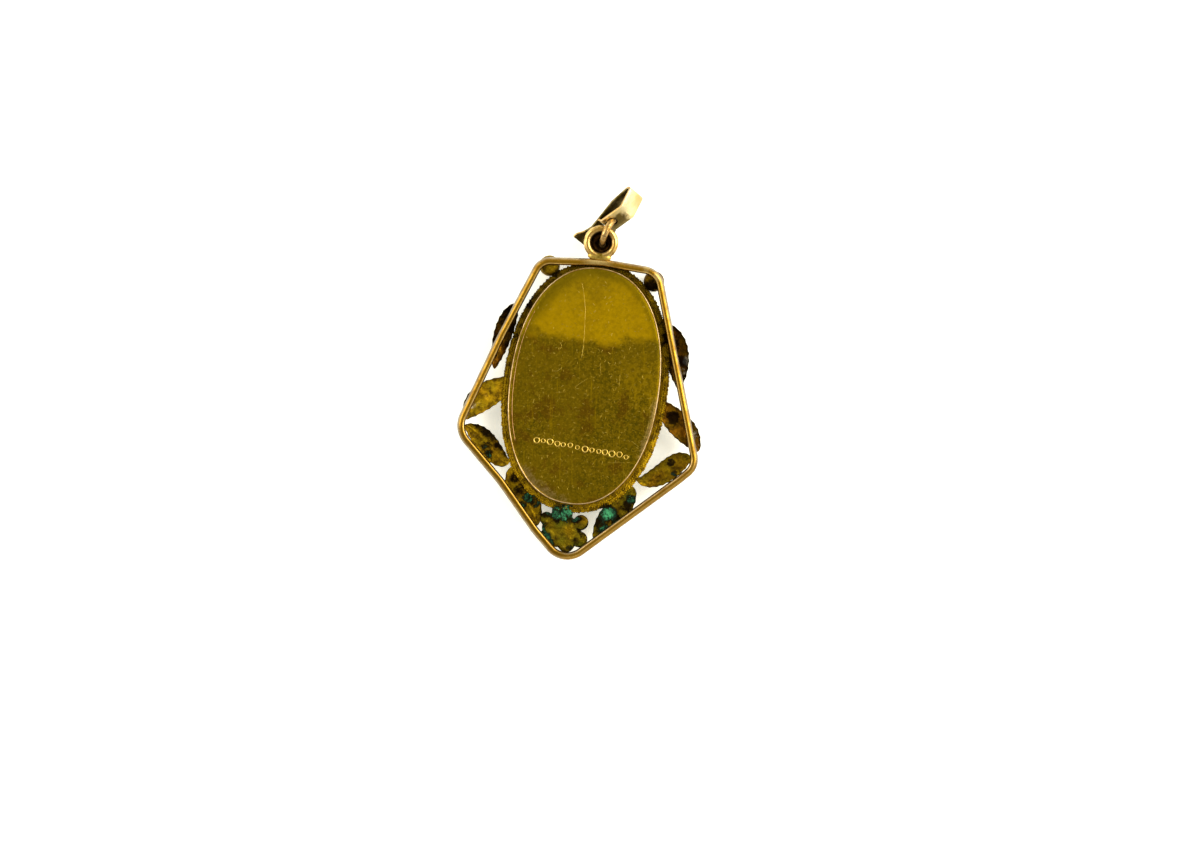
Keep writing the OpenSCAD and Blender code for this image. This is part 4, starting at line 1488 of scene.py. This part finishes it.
studio = {
    "floorHalf": 1.2, "floorColour": (0.93, 0.93, 0.86, 1), "lift": 0.42, "liftColour": (0.97, 1.0, 0.90, 1),
    # the room's light: height of each tone, and the tone
    "room": [(0.35, (1.0, 0.985, 0.95, 1)), (0.95, (0.50, 0.49, 0.46, 1))], "strength": 1.0,
    # lamp: place, width and height in metres, power, colour
    "lamps": {
        "keyPanel": ((0.42, 0.22, 0.34), (0.5, 0.5), 4.6, (1.0, 0.97, 0.90)),
        "fillPanel": ((-0.40, 0.12, 0.30), (0.4, 0.4), 1.6, (1.0, 0.98, 0.94)),
    },
    # mm for each pixel, the picture's width, and the point that is aimed at in mm
    "viewScale": 0.09, "imageWide": 1200, "aim": (1.784, -4.733, 2.6), "lens": 100.0, "clip": (0.01, 10),
}


def makeFloor():
    half = studio["floorHalf"]
    corners = [(-half, -half, 0), (half, -half, 0), (half, half, 0), (-half, half, 0)]
    floor = addObject("paleFloor", newMesh(corners, [(0, 1, 2, 3)]))
    material, tree = newMaterial("palePaper")
    feed(tree.nodes["Principled BSDF"], {
        "Base Color": studio["floorColour"], "Roughness": 0.9, "Specular IOR Level": 0.1,
        "Emission Color": studio["liftColour"], "Emission Strength": studio["lift"]})
    floor.data.materials.append(material)


def makeWorld():
    world = bpy.data.worlds.new("softRoom")
    scene.world = world
    world.use_nodes = True
    tree = world.node_tree
    direction = addNode(tree, "ShaderNodeTexCoord")["Generated"]
    parts = addNode(tree, "ShaderNodeSeparateXYZ", {0: direction})
    ramp = addNode(tree, "ShaderNodeValToRGB", {"Fac": parts[2]})[0]
    for element, (height, colour) in zip(ramp.node.color_ramp.elements, studio["room"]):
        element.position, element.color = height, colour
    feed(tree.nodes["Background"], {"Color": ramp, "Strength": studio["strength"]})


def makeLamps():
    for name, (place, size, power, colour) in studio["lamps"].items():
        data = bpy.data.lights.new(name, "AREA")
        data.shape, data.energy, data.color = "RECTANGLE", power, colour
        data.size, data.size_y = size
        lamp = addObject(name, data)
        lamp.location = place
        lamp.rotation_euler = (-Vector(place)).to_track_quat("-Z", "Y").to_euler()


def makeCamera():
    data = bpy.data.cameras.new("viewFromAbove")
    data.lens = studio["lens"]
    data.clip_start, data.clip_end = studio["clip"]
    camera = addObject("viewFromAbove", data)
    distance = studio["viewScale"] * studio["imageWide"] * mm * studio["lens"] / data.sensor_width
    camera.location = (studio["aim"][0] * mm, studio["aim"][1] * mm, studio["aim"][2] * mm + distance)
    camera.rotation_euler = (0, 0, math.radians(setting["viewTurn"]))
    scene.camera = camera


makeFloor()
makeWorld()
makeLamps()
makeCamera()
scene.view_settings.view_transform = "Standard"
